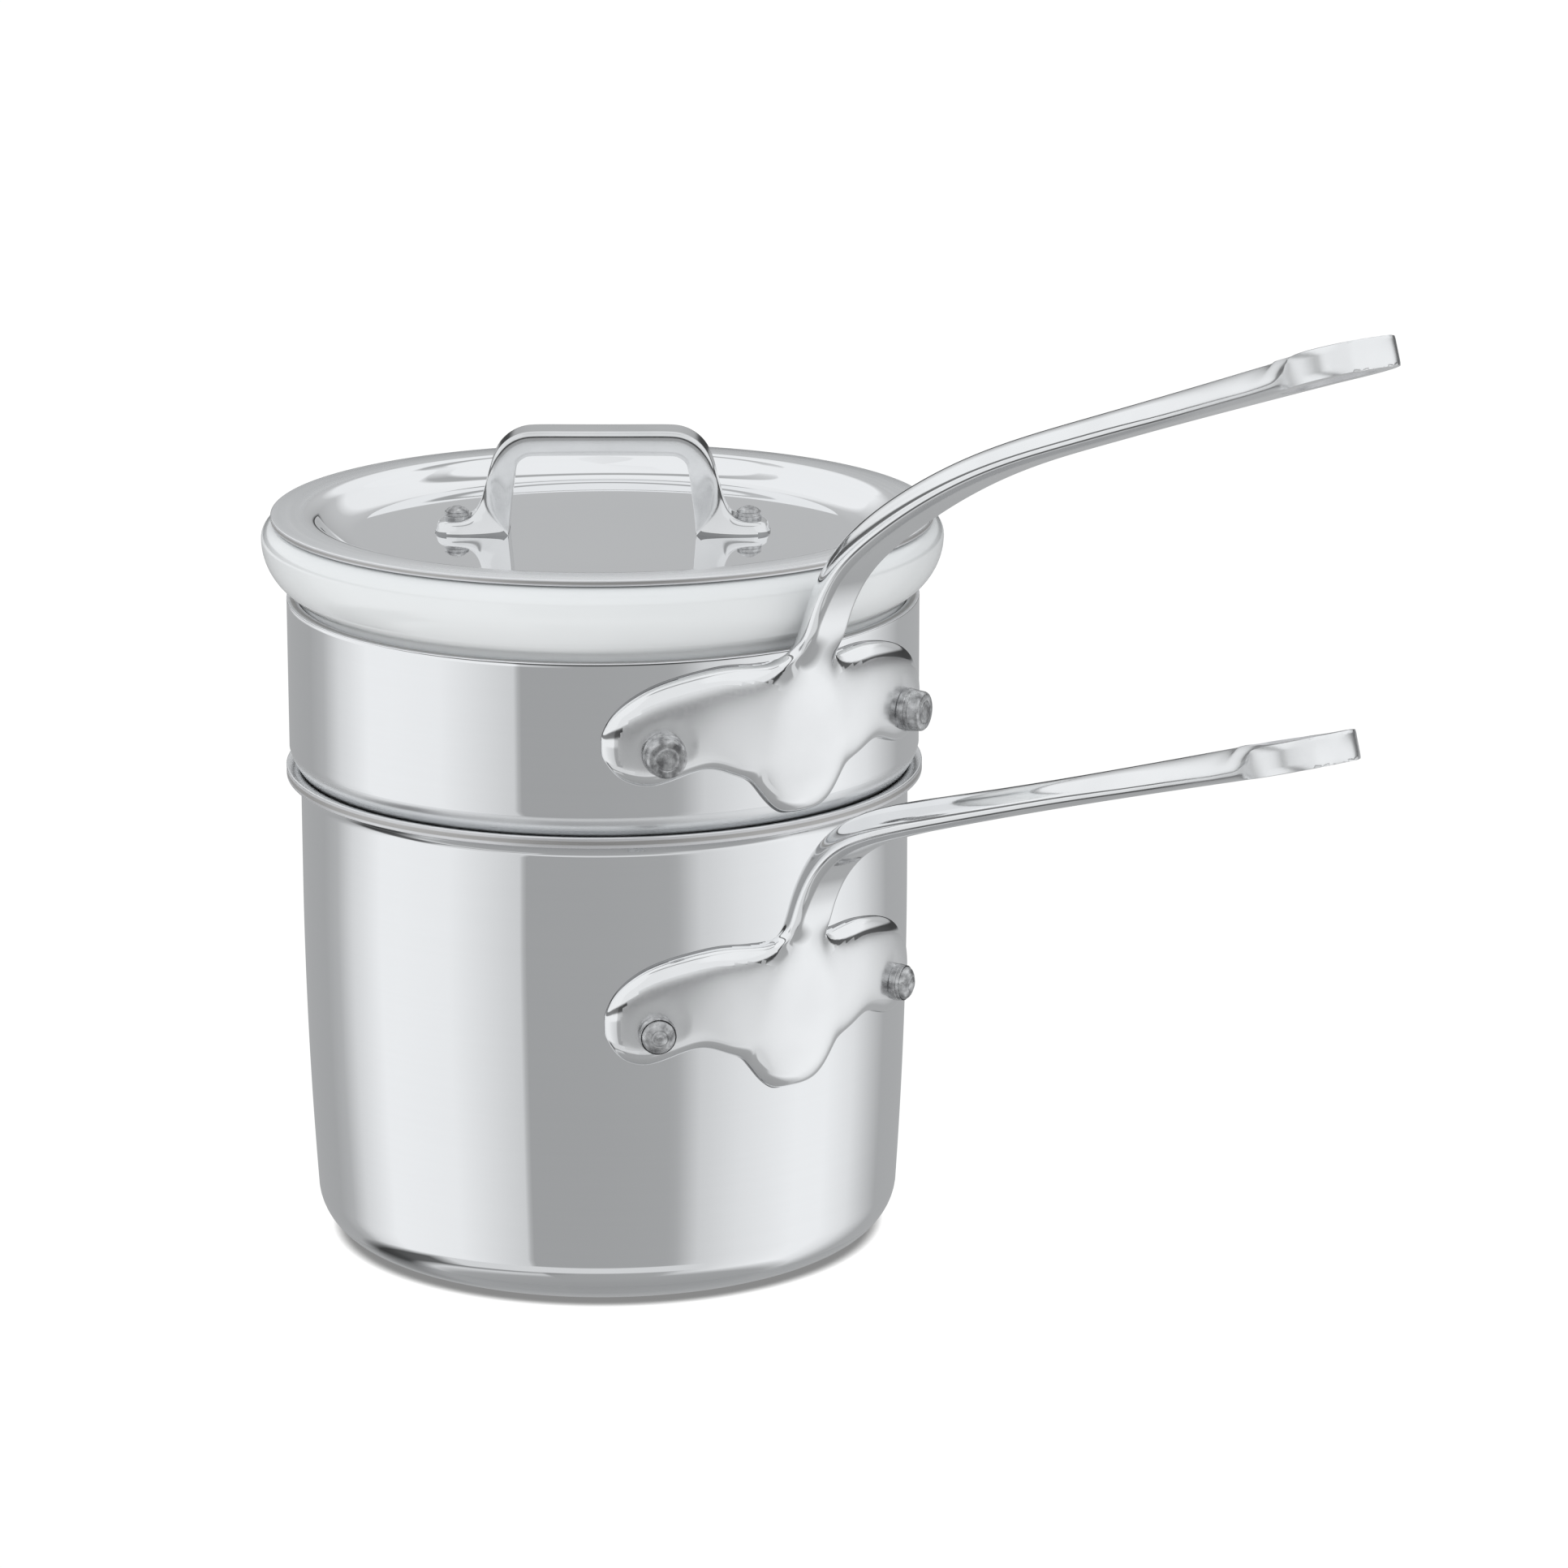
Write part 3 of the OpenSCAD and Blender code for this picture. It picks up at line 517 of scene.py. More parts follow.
lidSize = {"radius": 78.6, "bottom": 174.9, "sheet": 1.5, "recess": 70.8, "depth": 5.4, "bend": 4.5,
           "slope": 48, "edgeRound": 0.3,
           # where its finishes change, and how far a face looks up
           "flangeFrom": 0.2, "flangeFacing": 0.9, "underFacing": -0.2, "edgeReach": 0.12}


def panWall(z):
    # the wall's radius, which draws in towards the foot
    drop = max(0, (panSize["straightFrom"] - z) / (panSize["straightFrom"] - panSize["corner"]))
    return panSize["wall"] - panSize["draw"] * drop ** 2


def lipMiddle():
    # the middle of the lip's bend, on which the ring's shoulder sits too
    return (panSize["wall"] - sheet + panSize["lipBend"], panSize["top"] - panSize["lipBend"])


def makePan():
    p = panSize
    corner, bend = p["corner"], p["lipBend"]
    lipR, lipZ = lipMiddle()
    footR = panWall(corner) - corner
    heights = [corner + (p["straightFrom"] - corner) * i / 20 for i in range(21)]
    low, high = p["lowerRound"], p["upperRound"]
    outside = [(0, p["baseRise"]), (footR - p["baseRing"][0], p["baseRise"]), (footR - p["baseRing"][1], 0.0)]
    outside += arcPoints((footR, corner), corner, -90, 0, 14)
    outside += [(panWall(z), z) for z in heights[1:]]
    outside += arcPoints((lipR, lipZ), bend - sheet, 180, p["lipTurn"], 10)
    edge = arcPoints((lipR - low, p["top"] - sheet + low), low, -80, 0, 3)
    edge += arcPoints((lipR - high, p["top"] - high), high, 0, 90, 4)
    inside = arcPoints((lipR, lipZ), bend, p["lipTurn"], 180, 14)
    inside += [(panWall(z) - sheet, z) for z in reversed(heights)]
    inside += arcPoints((footR, corner), corner - sheet, 0, -90, 12) + [(0, sheet)]
    pan = turnPiece("waterPan", outside + edge + inside)
    base, satin, rim = p["baseTo"], lipZ + p["satinFrom"], lipR - p["edgeReach"]
    giveMaterials(pan, made["polishedSteel"],
                  (made["brushedSteel"], lambda m, n: m.z < base or m.xy.length < panWall(m.z) - sheet / 2),
                  (made["satinSteel"], lambda m, n: m.z > satin and n.z > p["satinFacing"]),
                  (made["lipEdge"], lambda m, n: m.xy.length > rim and abs(n.z) < p["edgeFacing"]))
    return dress(pan, "pan", "pan_steel", "water_pan")


def makeRing():
    g = ringSize
    turn, top, crease, hold = g["shoulderTurn"], g["top"], g["crease"], g["hold"]
    seat = lipMiddle()
    inner = panSize["lipBend"] + g["gap"]
    outer, bore = g["radius"], g["radius"] - sheet
    kneeIn = arcPoints(seat, inner, 180, turn, 12)
    kneeOut = arcPoints(seat, inner + sheet, turn, 180, 12)
    low, high = Vector(kneeIn[-1]), Vector((outer, crease))
    bulge, steps = Vector(g["bulge"]), g["bulgeSteps"]
    shoulder = [tuple(low.lerp(high, i / steps) + bulge * math.sin(math.pi * i / steps))
                for i in range(1, steps)]
    wall = [(outer, crease + g["creaseRound"]), (outer, crease + hold), (outer, top - hold)]
    edge = g["edgeRound"]
    topEdge = arcPoints((outer - edge, top - edge), edge, 0, 90, 4)
    topEdge += arcPoints((bore + edge, top - edge), edge, 90, 180, 4)
    boreLine = [(bore, top - hold), (bore, crease + g["boreHold"]), (bore, crease + hold)]
    spigotIn, spigotOut, foot, bevel = kneeOut[-1][0], kneeIn[0][0], g["spigotFoot"], g["footBevel"]
    spigot = [(spigotIn, foot + bevel), (spigotIn + bevel, foot), (spigotOut - bevel, foot),
              (spigotOut, foot + bevel), kneeIn[0]]
    ring = turnPiece("steelRing", kneeIn + shoulder + wall + topEdge + boreLine + kneeOut + spigot)
    giveMaterials(ring, made["polishedSteel"],
                  (made["brushedSteel"], lambda m, n: m.xy.length < bore + g["boreReach"] or m.z < seat[1]),
                  (made["satinSteel"], lambda m, n: seat[1] < m.z < crease and n.xy.dot(m.xy) > 0),
                  (made["ringEdge"], lambda m, n: m.z > top - g["topReach"]))
    return dress(ring, "ring", "ring_steel", "steel_ring")


def makeBowl():
    b = bowlSize
    neck, foot, wall = b["neck"], b["foot"], b["wall"]
    reach = b["underRound"] + b["hollow"]
    rimTurn = math.degrees(math.acos((neck + b["hollow"] - b["rim"] + b["underRound"]) / reach))
    bore, footR = neck - wall, b["footRadius"] - b["corner"]
    corner = foot + b["corner"]
    bevelIn, bevelDown = b["neckBevel"]
    outside = [(0, foot + b["footRing"][0][1])] + [(footR - inward, foot + up) for inward, up in b["footRing"]]
    outside += arcPoints((footR, corner), b["corner"], -90, 0, 16)
    outside += [(b["waist"], b["waistHeight"]), (neck - bevelIn, b["neckBottom"] - bevelDown),
                (neck, b["neckBottom"])]
    outside += arcPoints((neck + b["hollow"], ringSize["top"]), b["hollow"], 180, 180 - rimTurn, 10)
    outside += arcPoints((b["rim"] - b["underRound"], b["rimMiddle"]), b["underRound"], -rimTurn, 0, 20)[1:]
    outside += arcPoints((b["rim"] - b["edgeRound"], b["rimMiddle"]), b["edgeRound"], 0, 90, 14)[1:]
    mouth = b["mouthRound"]
    inside = arcPoints((bore + mouth, b["rimTop"] - mouth), mouth, 90, 180, 12)
    inside += [(bore, b["neckBottom"]), (b["waist"] - wall, b["waistHeight"])]
    inside += arcPoints((footR, corner), b["corner"] - wall, 0, -90, 14) + [(0, foot + wall)]
    bowl = turnPiece("porcelainBowl", outside + inside)
    giveMaterials(bowl, made["whiteGlaze"])
    return dress(bowl, "bowl", "porcelain", "porcelain_bowl")


def lidDisc():
    # the height of the sunken disc in the lid's middle
    return lidSize["bottom"] + lidSize["sheet"] - lidSize["depth"]


def makeLid():
    g = lidSize
    slope, bend, edge, thick, small = g["slope"], g["bend"], g["radius"], g["sheet"], g["edgeRound"]
    top, disc = g["bottom"] + thick, lidDisc()
    hollow = g["depth"] / (1 - math.cos(math.radians(slope))) - bend
    discR = g["recess"] - (bend + hollow) * math.sin(math.radians(slope))
    upper = [(0, disc), (discR * 0.5, disc)]
    upper += arcPoints((discR, disc + hollow), hollow, -90, slope - 90, 16)
    upper += arcPoints((g["recess"], top - bend), bend, 90 + slope, 90, 16)[1:]
    upper += arcPoints((edge - small, top - small), small, 90, 0, 4)
    lower = arcPoints((edge - small, g["bottom"] + small), small, 0, -90, 4)
    lower += arcPoints((g["recess"], top - bend), bend - thick, 90, 90 + slope, 14)
    lower += arcPoints((discR, disc + hollow), hollow + thick, slope - 90, -90, 14)[1:]
    lower += [(discR * 0.5, disc - thick), (0, disc - thick)]
    lid = turnPiece("lidPlate", upper + lower)
    flange = g["recess"] + g["flangeFrom"]
    giveMaterials(lid, made["polishedSteel"],
                  (made["satinSteel"], lambda m, n: m.xy.length > flange and n.z > g["flangeFacing"]),
                  (made["brushedSteel"], lambda m, n: n.z < g["underFacing"]),
                  (made["lidEdge"], lambda m, n: m.xy.length > edge - g["edgeReach"]))
    return dress(lid, "lid", "lid_steel", "lid")


# castings: a cage of eight-point loops, pulled out loop by loop and then smoothed

def startCage(name, row):
    clearSelection()
    bpy.ops.mesh.primitive_circle_add(vertices=8, radius=5 * mm, fill_type='NGON')
    piece = bpy.context.object
    piece.name = name
    bpy.ops.object.mode_set(mode='EDIT')
    bpy.ops.mesh.select_mode(type='FACE')
    mesh = bmesh.from_edit_mesh(piece.data)
    mesh.verts.ensure_lookup_table()
    for vert, place in zip(mesh.verts, row):
        vert.co = Vector(place) * mm
    bmesh.update_edit_mesh(piece.data)
    bpy.ops.mesh.select_all(action='SELECT')
    return piece


def pullTo(piece, old, new):
    # extrudes what is selected and puts each new point where its old one leads
    bpy.ops.mesh.extrude_region_move()
    mesh = bmesh.from_edit_mesh(piece.data)
    for vert in mesh.verts:
        if vert.select:
            nearest = min(range(len(old)), key=lambda i: (Vector(old[i]) * mm - vert.co).length_squared)
            vert.co = Vector(new[nearest]) * mm
    bmesh.update_edit_mesh(piece.data)


def pointNear(mesh, place):
    return min(mesh.verts, key=lambda v: (v.co - Vector(place) * mm).length_squared)


def selectFacesOn(piece, places):
    bpy.ops.mesh.select_all(action='DESELECT')
    mesh = bmesh.from_edit_mesh(piece.data)
    corners = {pointNear(mesh, place) for place in places}
    for face in mesh.faces:
        face.select = all(v in corners for v in face.verts)
    mesh.select_flush_mode()
    bmesh.update_edit_mesh(piece.data)


def creaseLine(piece, places, weight):
    # weight is one number, or one for each edge of the line
    mesh = bmesh.from_edit_mesh(piece.data)
    layer = mesh.edges.layers.float.get("crease_edge") or mesh.edges.layers.float.new("crease_edge")
    verts = [pointNear(mesh, place) for place in places]
    for i, (a, b) in enumerate(zip(verts, verts[1:])):
        edge = mesh.edges.get((a, b)) if a != b else None
        if edge:
            edge[layer] = weight[i] if isinstance(weight, list) else weight
    bmesh.update_edit_mesh(piece.data)


def finishCage(piece):
    bpy.ops.mesh.select_all(action='SELECT')
    bpy.ops.mesh.normals_make_consistent(inside=False)
    bpy.ops.object.mode_set(mode='OBJECT')
    smoother = piece.modifiers.new("smooth", 'SUBSURF')
    smoother.levels = shop["smoothLevels"]
    smoother.render_levels = shop["smoothLevels"]
    only(piece)
    bpy.ops.object.modifier_apply(modifier=smoother.name)
    bpy.ops.object.shade_smooth_by_angle(angle=math.radians(shop["castCorner"]))


# the two long handles: a plate on the wall, two lobes, a neck and shank, and the hanging end

handleSizes = {
    "plate": 4.6, "gap": 0.1, "rivetHalf": 34.3, "plateTop": 21,
    # the middle of the plate, from its tip up: the outer and the inner point of a row, each half width,
    # height above the rivets, depth out from the wall
    "spine": [((5.6, -17.9, 1.8), (3.0, -17.9, 2.2)), ((9.9, -14.2, 2.3), (6.2, -13.4, 4.9)),
              ((13.6, -8.6, 2.4), (9.8, -6.8, 5.0)), ((12.6, -4.6, 4.9), (7.2, -1.4, 5.0)),
              ((10.0, 9.6, 4.7), (6.0, 8.5, 5.1)), ((6.2, 17.6, 5.0), (3.4, 17.6, 7.0))],
    "lobeRows": (2, 3, 4, 5),      # the rows of the plate that a lobe grows out of
    # a lobe, from the middle out: distance sideways, heights and depths of its four lines
    "lobe": [(17.6, (-7.4, -4.0, 15.6, 19.0), (2.5, 4.9, 4.6, 2.6)),
             (23.6, (-4.4, -1.2, 15.0, 18.4), (2.3, 4.9, 4.4, 2.4)),
             (29.8, (-6.4, -3.0, 13.8, 17.2), (2.2, 4.9, 4.3, 2.3)),
             (36.4, (-9.0, -5.4, 11.8, 15.2), (2.2, 4.8, 4.2, 2.3)),
             (42.4, (-7.2, -4.4, 8.2, 11.2), (2.1, 4.5, 4.0, 2.2)),
             (45.2, (-3.8, -2.0, 5.2, 7.4), (2.0, 3.2, 3.0, 2.0)),
             (46.6, (-0.6, 0.4, 2.8, 3.8), (1.7, 2.0, 2.0, 1.7))],
    # the shank, by distance past the neck's start, and its section as shares of width and thickness
    "widths": [(0, 12.4), (7, 12.0), (30, 12)],
    "thickness": [(0, 7.4), (45, 7.4), (95, 5.8)],
    "section": [(0.34, -0.5), (0.13, -0.5), (-0.13, -0.5), (-0.34, -0.5),
                (-0.54, -0.22), (-0.29, 0.6), (0.29, 0.6), (0.54, -0.22)],
    # the hanging end, measured back from its tip: distance, half width, half hole, share of the flat slab
    "end": [(62, 6.5, 2.4, 0), (47, 7.6, 2.9, 0), (37.5, 8.5, 3.0, 0), (32.4, 9.0, 2.6, 0),
            (28.6, 9.4, 3.4, 0), (25.2, 9.8, 4.0, 0), (21.0, 10.4, 4.7, 0.05), (17.2, 11.0, 5.5, 0.85),
            (12, 11.5, 6.7, 1), (7.2, 10.9, 5.6, 1), (4.9, 9.9, 2.6, 1), (2.2, 7.6, 3.0, 1),
            (0.7, 4.4, 1.6, 1)],
    "endThickness": [(0, 6.4), (25, 6.4), (70, 5.8)],
    "endRise": [(12, 0.5), (17, 0.56), (24, 0.6), (62, 0.6)],      # its back, as a share of the thickness
    "endLow": [(16, 1.0), (21.5, 0.78), (62, 0.7)],      # its lower face, as a share of the width
    "holeRows": (4, 11), "slabFrom": 7,      # counted along the end
    # a shallow hollow round each rivet: how deep, how far it is flat, how far it fades
    "hollowDepth": 0.55, "hollowFlat": 5.6, "hollowFade": 2.4,
    "seatReach": 0.25,      # points this near the wall lie on it
    # how the end's widest line climbs to the slab's upper edge, and how its width draws in
    "climb": (0.72, 0.22), "drawIn": (1.06, 0.06),
    "creases": {"plate": 1.0, "neck": 0.6, "hole": 0.75, "shankStart": [0.35, 0.6], "shank": 0.72, "slab": 0.7},
}
# where the finishes of a handle change, and where a dark shade is painted into the joint with the wall: in mm,
# and how squarely a face looks out
handleFinish = {"slabLength": 19, "slabFacing": 0.6, "faceTop": 15, "faceFacing": 0.975, "shadeDepth": 1.5,
                "materials": ("polishedCast", "roughCast", "satinCast", "paintedShadeCast")}
# each handle's way: the wall it sits on, and from the neck's start (x, z, slope) through its bends
# (radius, slope after it) to the straight; the stops are the shank's rows
panHandleRun = {"wall": panWall, "rivets": 69.0, "lobeReach": 0.82, "neck": (77.6, 89.0, 80),
                "bends": [(40, 22), (250, 17.6)], "straight": 143,
                "stops": [3, 9, 16, 23, 31, 40, 52, 66, 84, 104, 122]}
ringHandleRun = {"wall": lambda z: ringSize["radius"], "rivets": 135.9, "lobeReach": 0.97,
                 "neck": (82.8, 157.9, 78), "bends": [(46, 36), (225, 19)], "straight": 111.5,
                 "stops": [3, 9, 16, 25, 35, 47, 62, 80, 99, 118, 135]}


def alongRun(run, s):
    # the middle of the handle and its slope, at a distance past the neck's start
    x, z, a = run["neck"]
    for radius, nextA in run["bends"]:
        length = radius * math.radians(a - nextA)
        ra = math.radians(a)
        rb = math.radians(nextA) if s > length else ra - s / radius
        x, z = x + radius * (math.sin(ra) - math.sin(rb)), z + radius * (math.cos(rb) - math.cos(ra))
        if s <= length:
            return x, z, math.degrees(rb)
        s, a = s - length, nextA
    return x + s * math.cos(math.radians(a)), z + s * math.sin(math.radians(a)), a


def runLength(run):
    total, a = run["straight"], run["neck"][2]
    for radius, nextA in run["bends"]:
        total += radius * math.radians(a - nextA)
        a = nextA
    return total


def plateLine(run):
    # the radius of the plate's middle, on which distances sideways are measured
    return run["wall"](run["rivets"]) + handleSizes["plate"] / 2


def onWall(run, y, v, depth):
    z = run["rivets"] + v
    turn = math.asin(y / plateLine(run))
    r = run["wall"](z) + depth
    return (r * math.cos(turn), r * math.sin(turn), z)


def across(run, s, pairs):
    x, z, a = alongRun(run, s)
    a = math.radians(a)
    return [(x - n * math.sin(a), y, z + n * math.cos(a)) for y, n in pairs]


def handleRows(run):
    sizes, rows = handleSizes, []
    for (half, v, edge), (inner, mid, face) in sizes["spine"]:
        front = [(half, v, edge), (inner, mid, face), (-inner, mid, face), (-half, v, edge)]
        rows.append([onWall(run, *point) for point in front]
                    + [onWall(run, y, height, sizes["gap"]) for y, height, depth in reversed(front)])
    for s in run["stops"]:
        w, t = between(sizes["widths"], s), between(sizes["thickness"], s)
        rows.append(across(run, s, [(w * wide, t * high) for wide, high in sizes["section"]]))
    total = runLength(run)
    for d, half, hole, slab in sizes["end"]:
        t = between(sizes["endThickness"], d)
        side = t * (sizes["climb"][0] * slab - sizes["climb"][1])
        rise = t * between(sizes["endRise"], d)
        wide = half * (sizes["drawIn"][0] - sizes["drawIn"][1] * slab)
        low = half * between(sizes["endLow"], d)
        rows.append(across(run, total - d, [(low, -t / 2), (hole, -t / 2), (-hole, -t / 2), (-low, -t / 2),
                                            (-wide, side), (-hole, rise), (hole, rise), (wide, side)]))
    return rows


def pullLobes(piece, rows, run):
    # the two lobes, out of the sides of the plate, with the plate's back edge kept sharp
    sizes = handleSizes
    for side, front, back in ((1, 0, 7), (-1, 3, 4)):
        last = [rows[i][front] for i in sizes["lobeRows"]] + [rows[i][back] for i in sizes["lobeRows"]]
        backRuns = [last[4:]]
        selectFacesOn(piece, last)
        for y, heights, depths in sizes["lobe"]:
            y = min(y, sizes["rivetHalf"]) + max(0, y - sizes["rivetHalf"]) * run["lobeReach"]
            new = [onWall(run, side * y, v, d) for v, d in zip(heights, depths)]
            new += [onWall(run, side * y, v, sizes["gap"]) for v in heights]
            pullTo(piece, last, new)
            last = new
            backRuns.append(new[4:])
        edges = [[r[0] for r in backRuns], [r[3] for r in backRuns], backRuns[-1], [r[back] for r in rows[:3]]]
        for edge in edges:
            creaseLine(piece, edge, sizes["creases"]["plate"])
        creaseLine(piece, [r[back] for r in rows[5:7]], sizes["creases"]["neck"])
    creaseLine(piece, rows[0][4:], sizes["creases"]["plate"])


def openHole(piece, rows):
    # the faces over and under the hole go, and a wall joins the two openings
    for a, b in ((1, 2), (5, 6)):
        selectFacesOn(piece, [r[a] for r in rows] + [r[b] for r in rows])
        bpy.ops.mesh.delete(type='ONLY_FACE')
    bpy.ops.mesh.select_mode(type='EDGE')
    bpy.ops.mesh.select_all(action='DESELECT')
    bpy.ops.mesh.select_non_manifold()
    mesh = bmesh.from_edit_mesh(piece.data)
    for edge in [e for e in mesh.edges if not e.link_faces]:
        mesh.edges.remove(edge)
    bmesh.update_edit_mesh(piece.data)
    bpy.ops.mesh.bridge_edge_loops()
    bpy.ops.mesh.select_mode(type='FACE')
    mesh = bmesh.from_edit_mesh(piece.data)
    for face in mesh.faces:
        if face.select:
            face.material_index = handleFinish["materials"].index("roughCast")
    bmesh.update_edit_mesh(piece.data)
    for a, b in ((1, 2), (5, 6)):
        rim = [r[a] for r in rows] + [r[b] for r in reversed(rows)] + [rows[0][a]]
        creaseLine(piece, rim, handleSizes["creases"]["hole"])


def creaseShank(piece, rows, slab):
    # long edges: sharp on the shank and round the slab, fading out on the plate
    weights = handleSizes["creases"]
    shank = rows[len(handleSizes["spine"]) - 1:]
    fade = weights["shankStart"] + [weights["shank"]] * len(shank)
    for i in (0, 3):
        creaseLine(piece, [r[i] for r in shank], fade)
    for i in (4, 7):
        creaseLine(piece, [r[i] for r in slab], weights["slab"])
    for edge in (slab[-1][:4], slab[-1][4:]):
        creaseLine(piece, edge, weights["slab"])


def fitToWall(piece, run):
    # the back is fitted to the wall, and a shallow hollow is cut round each rivet
    sizes, lineR = handleSizes, plateLine(run)
    flat, fade, deep = sizes["hollowFlat"], sizes["hollowFade"], sizes["hollowDepth"]
    rivetTurn = math.asin(sizes["rivetHalf"] / lineR)
    for vert in piece.data.vertices:
        x, y, z = vert.co / mm
        if z >= run["rivets"] + sizes["plateTop"] or x <= 0:
            continue
        r, wall = math.hypot(x, y), run["wall"](z)
        if r < wall + sizes["gap"] + sizes["seatReach"]:
            scale = (wall + sizes["gap"]) / r
            vert.co.x *= scale
            vert.co.y *= scale
        away = math.hypot(lineR * (math.atan2(abs(y), x) - rivetTurn), z - run["rivets"])
        limit = wall + sizes["plate"] - deep + deep * min(1, max(0, (away - flat) / fade)) ** 2
        if away < flat + fade and r > limit:
            vert.co.x *= limit / r
            vert.co.y *= limit / r


def finishHandle(piece, run):
    finish = handleFinish
    for material in finish["materials"]:
        piece.data.materials.append(made[material])
    satin, paintedShade = (finish["materials"].index(name) for name in ("satinCast", "paintedShadeCast"))
    tipX, tipZ, tipA = alongRun(run, runLength(run))
    tip = Vector((tipX, 0, tipZ))
    along = Vector((math.cos(math.radians(tipA)), 0, math.sin(math.radians(tipA))))
    upward = Vector((-along.z, 0, along.x))
    for face in piece.data.polygons:
        middle = face.center / mm
        outward = Vector((middle.x, middle.y, 0)).normalized()
        height = middle.z - run["rivets"]
        onSlab = (tip - middle).dot(along) < finish["slabLength"]
        onSlab = onSlab and abs(face.normal.dot(upward)) < finish["slabFacing"]
        onFace = height < finish["faceTop"] and face.normal.dot(outward) > finish["faceFacing"]
        nearWall = middle.xy.length < run["wall"](middle.z) + finish["shadeDepth"]
        if face.material_index == 0 and (onSlab or onFace):
            face.material_index = satin
        # faces low on the plate and close to the wall get painted shade, where the plate meets the wall
        if height < handleSizes["plateTop"] and nearWall and middle.x > 0:
            face.material_index = paintedShade


def makeLongHandle(name, run):
    rows = handleRows(run)
    endStart = len(rows) - len(handleSizes["end"])
    holeFrom, holeTo = handleSizes["holeRows"]
    piece = startCage(name, rows[0])
    for old, new in zip(rows, rows[1:]):
        pullTo(piece, old, new)
    pullLobes(piece, rows, run)
    openHole(piece, rows[endStart + holeFrom:endStart + holeTo])
    creaseShank(piece, rows, rows[endStart + handleSizes["slabFrom"]:])
    piece.data.materials.clear()
    finishCage(piece)
    fitToWall(piece, run)
    finishHandle(piece, run)
    return piece


# lid handle: rows from the tip of one foot over the bar to the other, in the handle's own plane

gripSize = {
    "turn": 52.3, "barTop": 24.8, "bar": 5.7, "half": 5.3, "bend": 7.0, "lean": 76,
    "legX": -27.1, "legRise": 1.4, "barX": -8.0, "elbow": (76, 56, 36, 16, 0), "swell": 1.03,
    "innerShare": 0.96,
    # inner point, outer point, half width inside and outside; heights above the disc
    "foot": [((-39.8, 0.0), (-39.4, 2.3), 3.9, 3.3), ((-37.2, 0.0), (-37.2, 3.1), 6.2, 5.5),
             ((-32.4, 0.0), (-32.8, 3.1), 6.5, 5.6), ((-27.2, 0.0), (-30.3, 4.3), 6.2, 4.9),
             ((-22.2, 0.0), (-28.7, 7.4), 5.7, 4.6), ((-21.9, 4.0), (-27.8, 11.4), 5.3, 4.9)],
    "shadeHeight": 0.55, "rivetX": 34.6, "rivetSeat": 2.8,
    "creases": {"foot": 1.0, "ankle": 0.9, "inside": 0.6, "outside": 0.35},
}


def gripRows():
    g = gripSize
    half = list(g["foot"])
    barZ, bend, lean = g["barTop"] - g["bar"] / 2, g["bend"], math.radians(g["lean"])
    widths = (g["half"] * g["innerShare"], g["half"])
    startX = g["legX"] + (barZ - bend * (1 - math.cos(lean)) - g["legRise"]) / math.tan(lean)
    centre = (startX + bend * math.sin(lean), barZ - bend)
    for turn in g["elbow"]:
        a = math.radians(turn)
        mid = Vector((centre[0] - bend * math.sin(a), centre[1] + bend * math.cos(a)))
        out = Vector((-math.sin(a), math.cos(a))) * g["bar"] / 2 * g["swell"]
        half.append((tuple(mid - out), tuple(mid + out), *widths))
    half.append(((g["barX"], barZ - g["bar"] / 2), (g["barX"], barZ + g["bar"] / 2), *widths))
    return half + [((-i[0], i[1]), (-o[0], o[1]), wi, wo) for i, o, wi, wo in reversed(half)]


def gripLoop(inner, outer, wi, wo):
    pairs = [(inner, wi), (inner, wi * 0.5), (inner, -wi * 0.5), (inner, -wi),
             (outer, -wo), (outer, -wo * 0.5), (outer, wo * 0.5), (outer, wo)]
    spin = Matrix.Rotation(math.radians(gripSize["turn"]), 3, 'Z')
    return [tuple(spin @ Vector((x, y, z + lidDisc()))) for (x, z), y in pairs]


def makeGrip():
    rows = [gripLoop(*row) for row in gripRows()]
    piece = startCage("lidGrip", rows[0])
    for old, new in zip(rows, rows[1:]):
        pullTo(piece, old, new)
    weights = gripSize["creases"]
    for i in (0, 3):
        creaseLine(piece, [r[i] for r in rows[:5]], weights["foot"])
        creaseLine(piece, [r[i] for r in rows[-5:]], weights["foot"])
        creaseLine(piece, [r[i] for r in rows[4:-4]], weights["inside"])
    for i in (4, 7):
        creaseLine(piece, [r[i] for r in rows[5:-5]], weights["outside"])
    for row in (rows[0], rows[-1]):
        creaseLine(piece, row[:4], weights["foot"])
    for row in (rows[4], rows[-5]):
        creaseLine(piece, row[:4], weights["ankle"])
    finishCage(piece)
    # the lowest faces of the feet, where they meet the disc, get painted shade
    shadeTop = lidDisc() + gripSize["shadeHeight"]
    giveMaterials(piece, made["gripCast"], (made["paintedShadeCast"], lambda m, n: m.z < shadeTop))
    return dress(piece, "lid", "cast_handle", "lid_handle")


# rivets: turned along Z, then laid on their axes

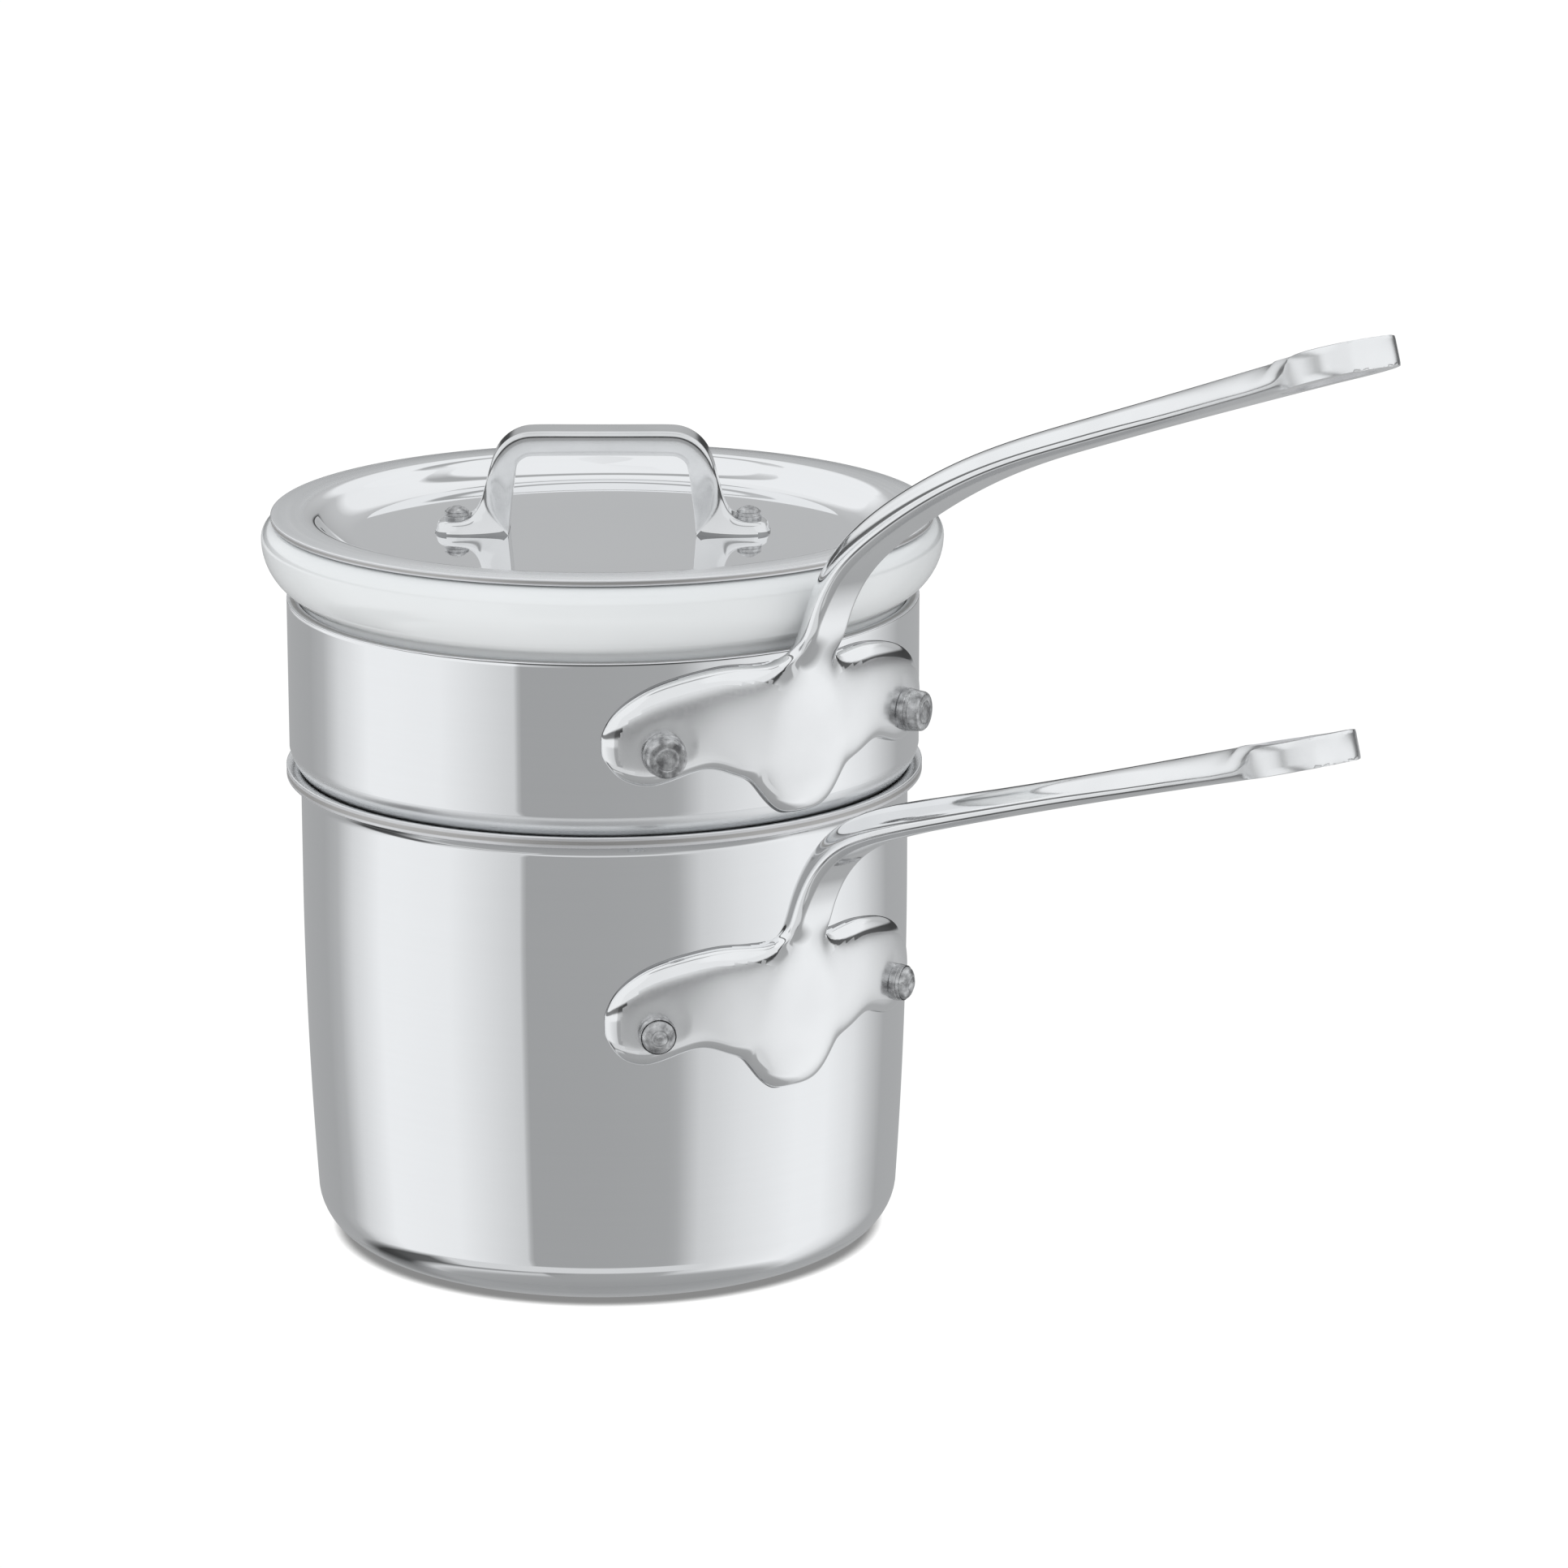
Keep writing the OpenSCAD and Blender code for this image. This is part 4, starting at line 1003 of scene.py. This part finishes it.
rivetSizes = {
    "pan": {"head": 8.8, "height": 4.1, "edge": 1.5, "dome": 0.9, "inner": 10.0, "shank": 6.0},
    "ring": {"head": 10.2, "height": 4.8, "edge": 0.9, "dome": 0.15, "inner": 10.0, "shank": 6.0},
    "lid": {"head": 6.2, "height": 3.3, "edge": 1.1, "dome": 0.5, "inner": 7.0, "shank": 3.6},
}
rivetShape = {
    # in from a head's edge and up from where it sits: the inner head, then the outer head's grooved side
    "innerHead": [(0.8, -1.6), (0.25, -1.2), (0, -0.7), (0, 0)],
    "side": [(0.1, -0.5), (0, 0.3), (0.08, 0.9), (0.22, 1.05), (0.12, 1.2), (0.2, 1.75), (0.34, 1.9),
             (0.24, 2.05)],
    "tipInset": 0.42, "shoulderTurn": 80,
    # across the outer face: share of the way to its middle, depth of the turned line there
    "face": [(0.12, 0), (0.25, 0), (0.32, 0.13), (0.38, 0), (0.5, 0), (0.62, 0.05), (0.68, 0), (0.85, 0)],
}


def makeRivet(name, size, z0, z1, matrix):
    # z0 is where the inner head sits, z1 where the outer one does
    shape = rivetShape
    r, edge, inner, shank = size["head"] / 2, size["edge"], size["inner"] / 2, size["shank"] / 2
    tip = z1 + size["height"]
    innerHead = [(inner - inset, z0 + up) for inset, up in shape["innerHead"]]
    profile = [(0, innerHead[0][1])] + innerHead + [(shank, z0), (shank, z1 + shape["side"][0][1])]
    profile += [(r - inset, z1 + up) for inset, up in shape["side"]]
    shoulder = z1 + (size["height"] - edge - size["dome"])
    profile += arcPoints((r - shape["tipInset"] - edge, shoulder), edge, 0, shape["shoulderTurn"], 6)
    faceR, faceZ = profile[-1]
    profile += [(faceR * (1 - t), faceZ + (tip - faceZ) * (1 - (1 - t) ** 2) - dip) for t, dip in shape["face"]]
    profile += [(0, tip)]
    piece = turnPiece(name, profile, shop["rivetSteps"])
    piece.data.transform(Matrix.Scale(mm, 4) @ matrix @ Matrix.Scale(1 / mm, 4))
    giveMaterials(piece, made["rivetMetal"])
    return piece


def makeRivets():
    for kind, run in (("pan", panHandleRun), ("ring", ringHandleRun)):
        size, z, wall = rivetSizes[kind], run["rivets"], run["wall"](run["rivets"])
        # the inner head's rim meets the round wall
        seat = math.sqrt((wall - sheet) ** 2 - (size["inner"] / 2) ** 2)
        for side, word in ((1, "Left"), (-1, "Right")):
            turn = side * math.asin(handleSizes["rivetHalf"] / plateLine(run))
            matrix = (Matrix.Translation((0, 0, z)) @ Matrix.Rotation(turn, 4, 'Z')
                      @ Matrix.Rotation(math.radians(90), 4, 'Y'))
            piece = makeRivet(kind + "Rivet" + word, size, seat, wall + handleSizes["plate"], matrix)
            dress(piece, kind, "rivet", kind + "_rivet_" + word.lower())
    disc = lidDisc()
    for side, word in ((1, "Left"), (-1, "Right")):
        matrix = (Matrix.Rotation(math.radians(gripSize["turn"]), 4, 'Z')
                  @ Matrix.Translation((side * gripSize["rivetX"], 0, 0)))
        piece = makeRivet("lidRivet" + word, rivetSizes["lid"], disc - lidSize["sheet"],
                          disc + gripSize["rivetSeat"], matrix)
        dress(piece, "lid", "rivet", "lid_rivet_" + word.lower())


addCamera(cameraSetup)
addStudio(studio)
makeMaterials()
makePan()
makeRing()
makeBowl()
makeLid()
print("vessels turned")
for name, body, node, run in (("panHandle", "pan", "pan_handle", panHandleRun),
                              ("ringHandle", "ring", "ring_handle", ringHandleRun)):
    handle = dress(makeLongHandle(name, run), body, "cast_handle", node)
    handle.visible_glossy = False      # the mirror walls stay clean, as in the photo
makeGrip()
print("handles cast")
makeRivets()
print("rivets set")
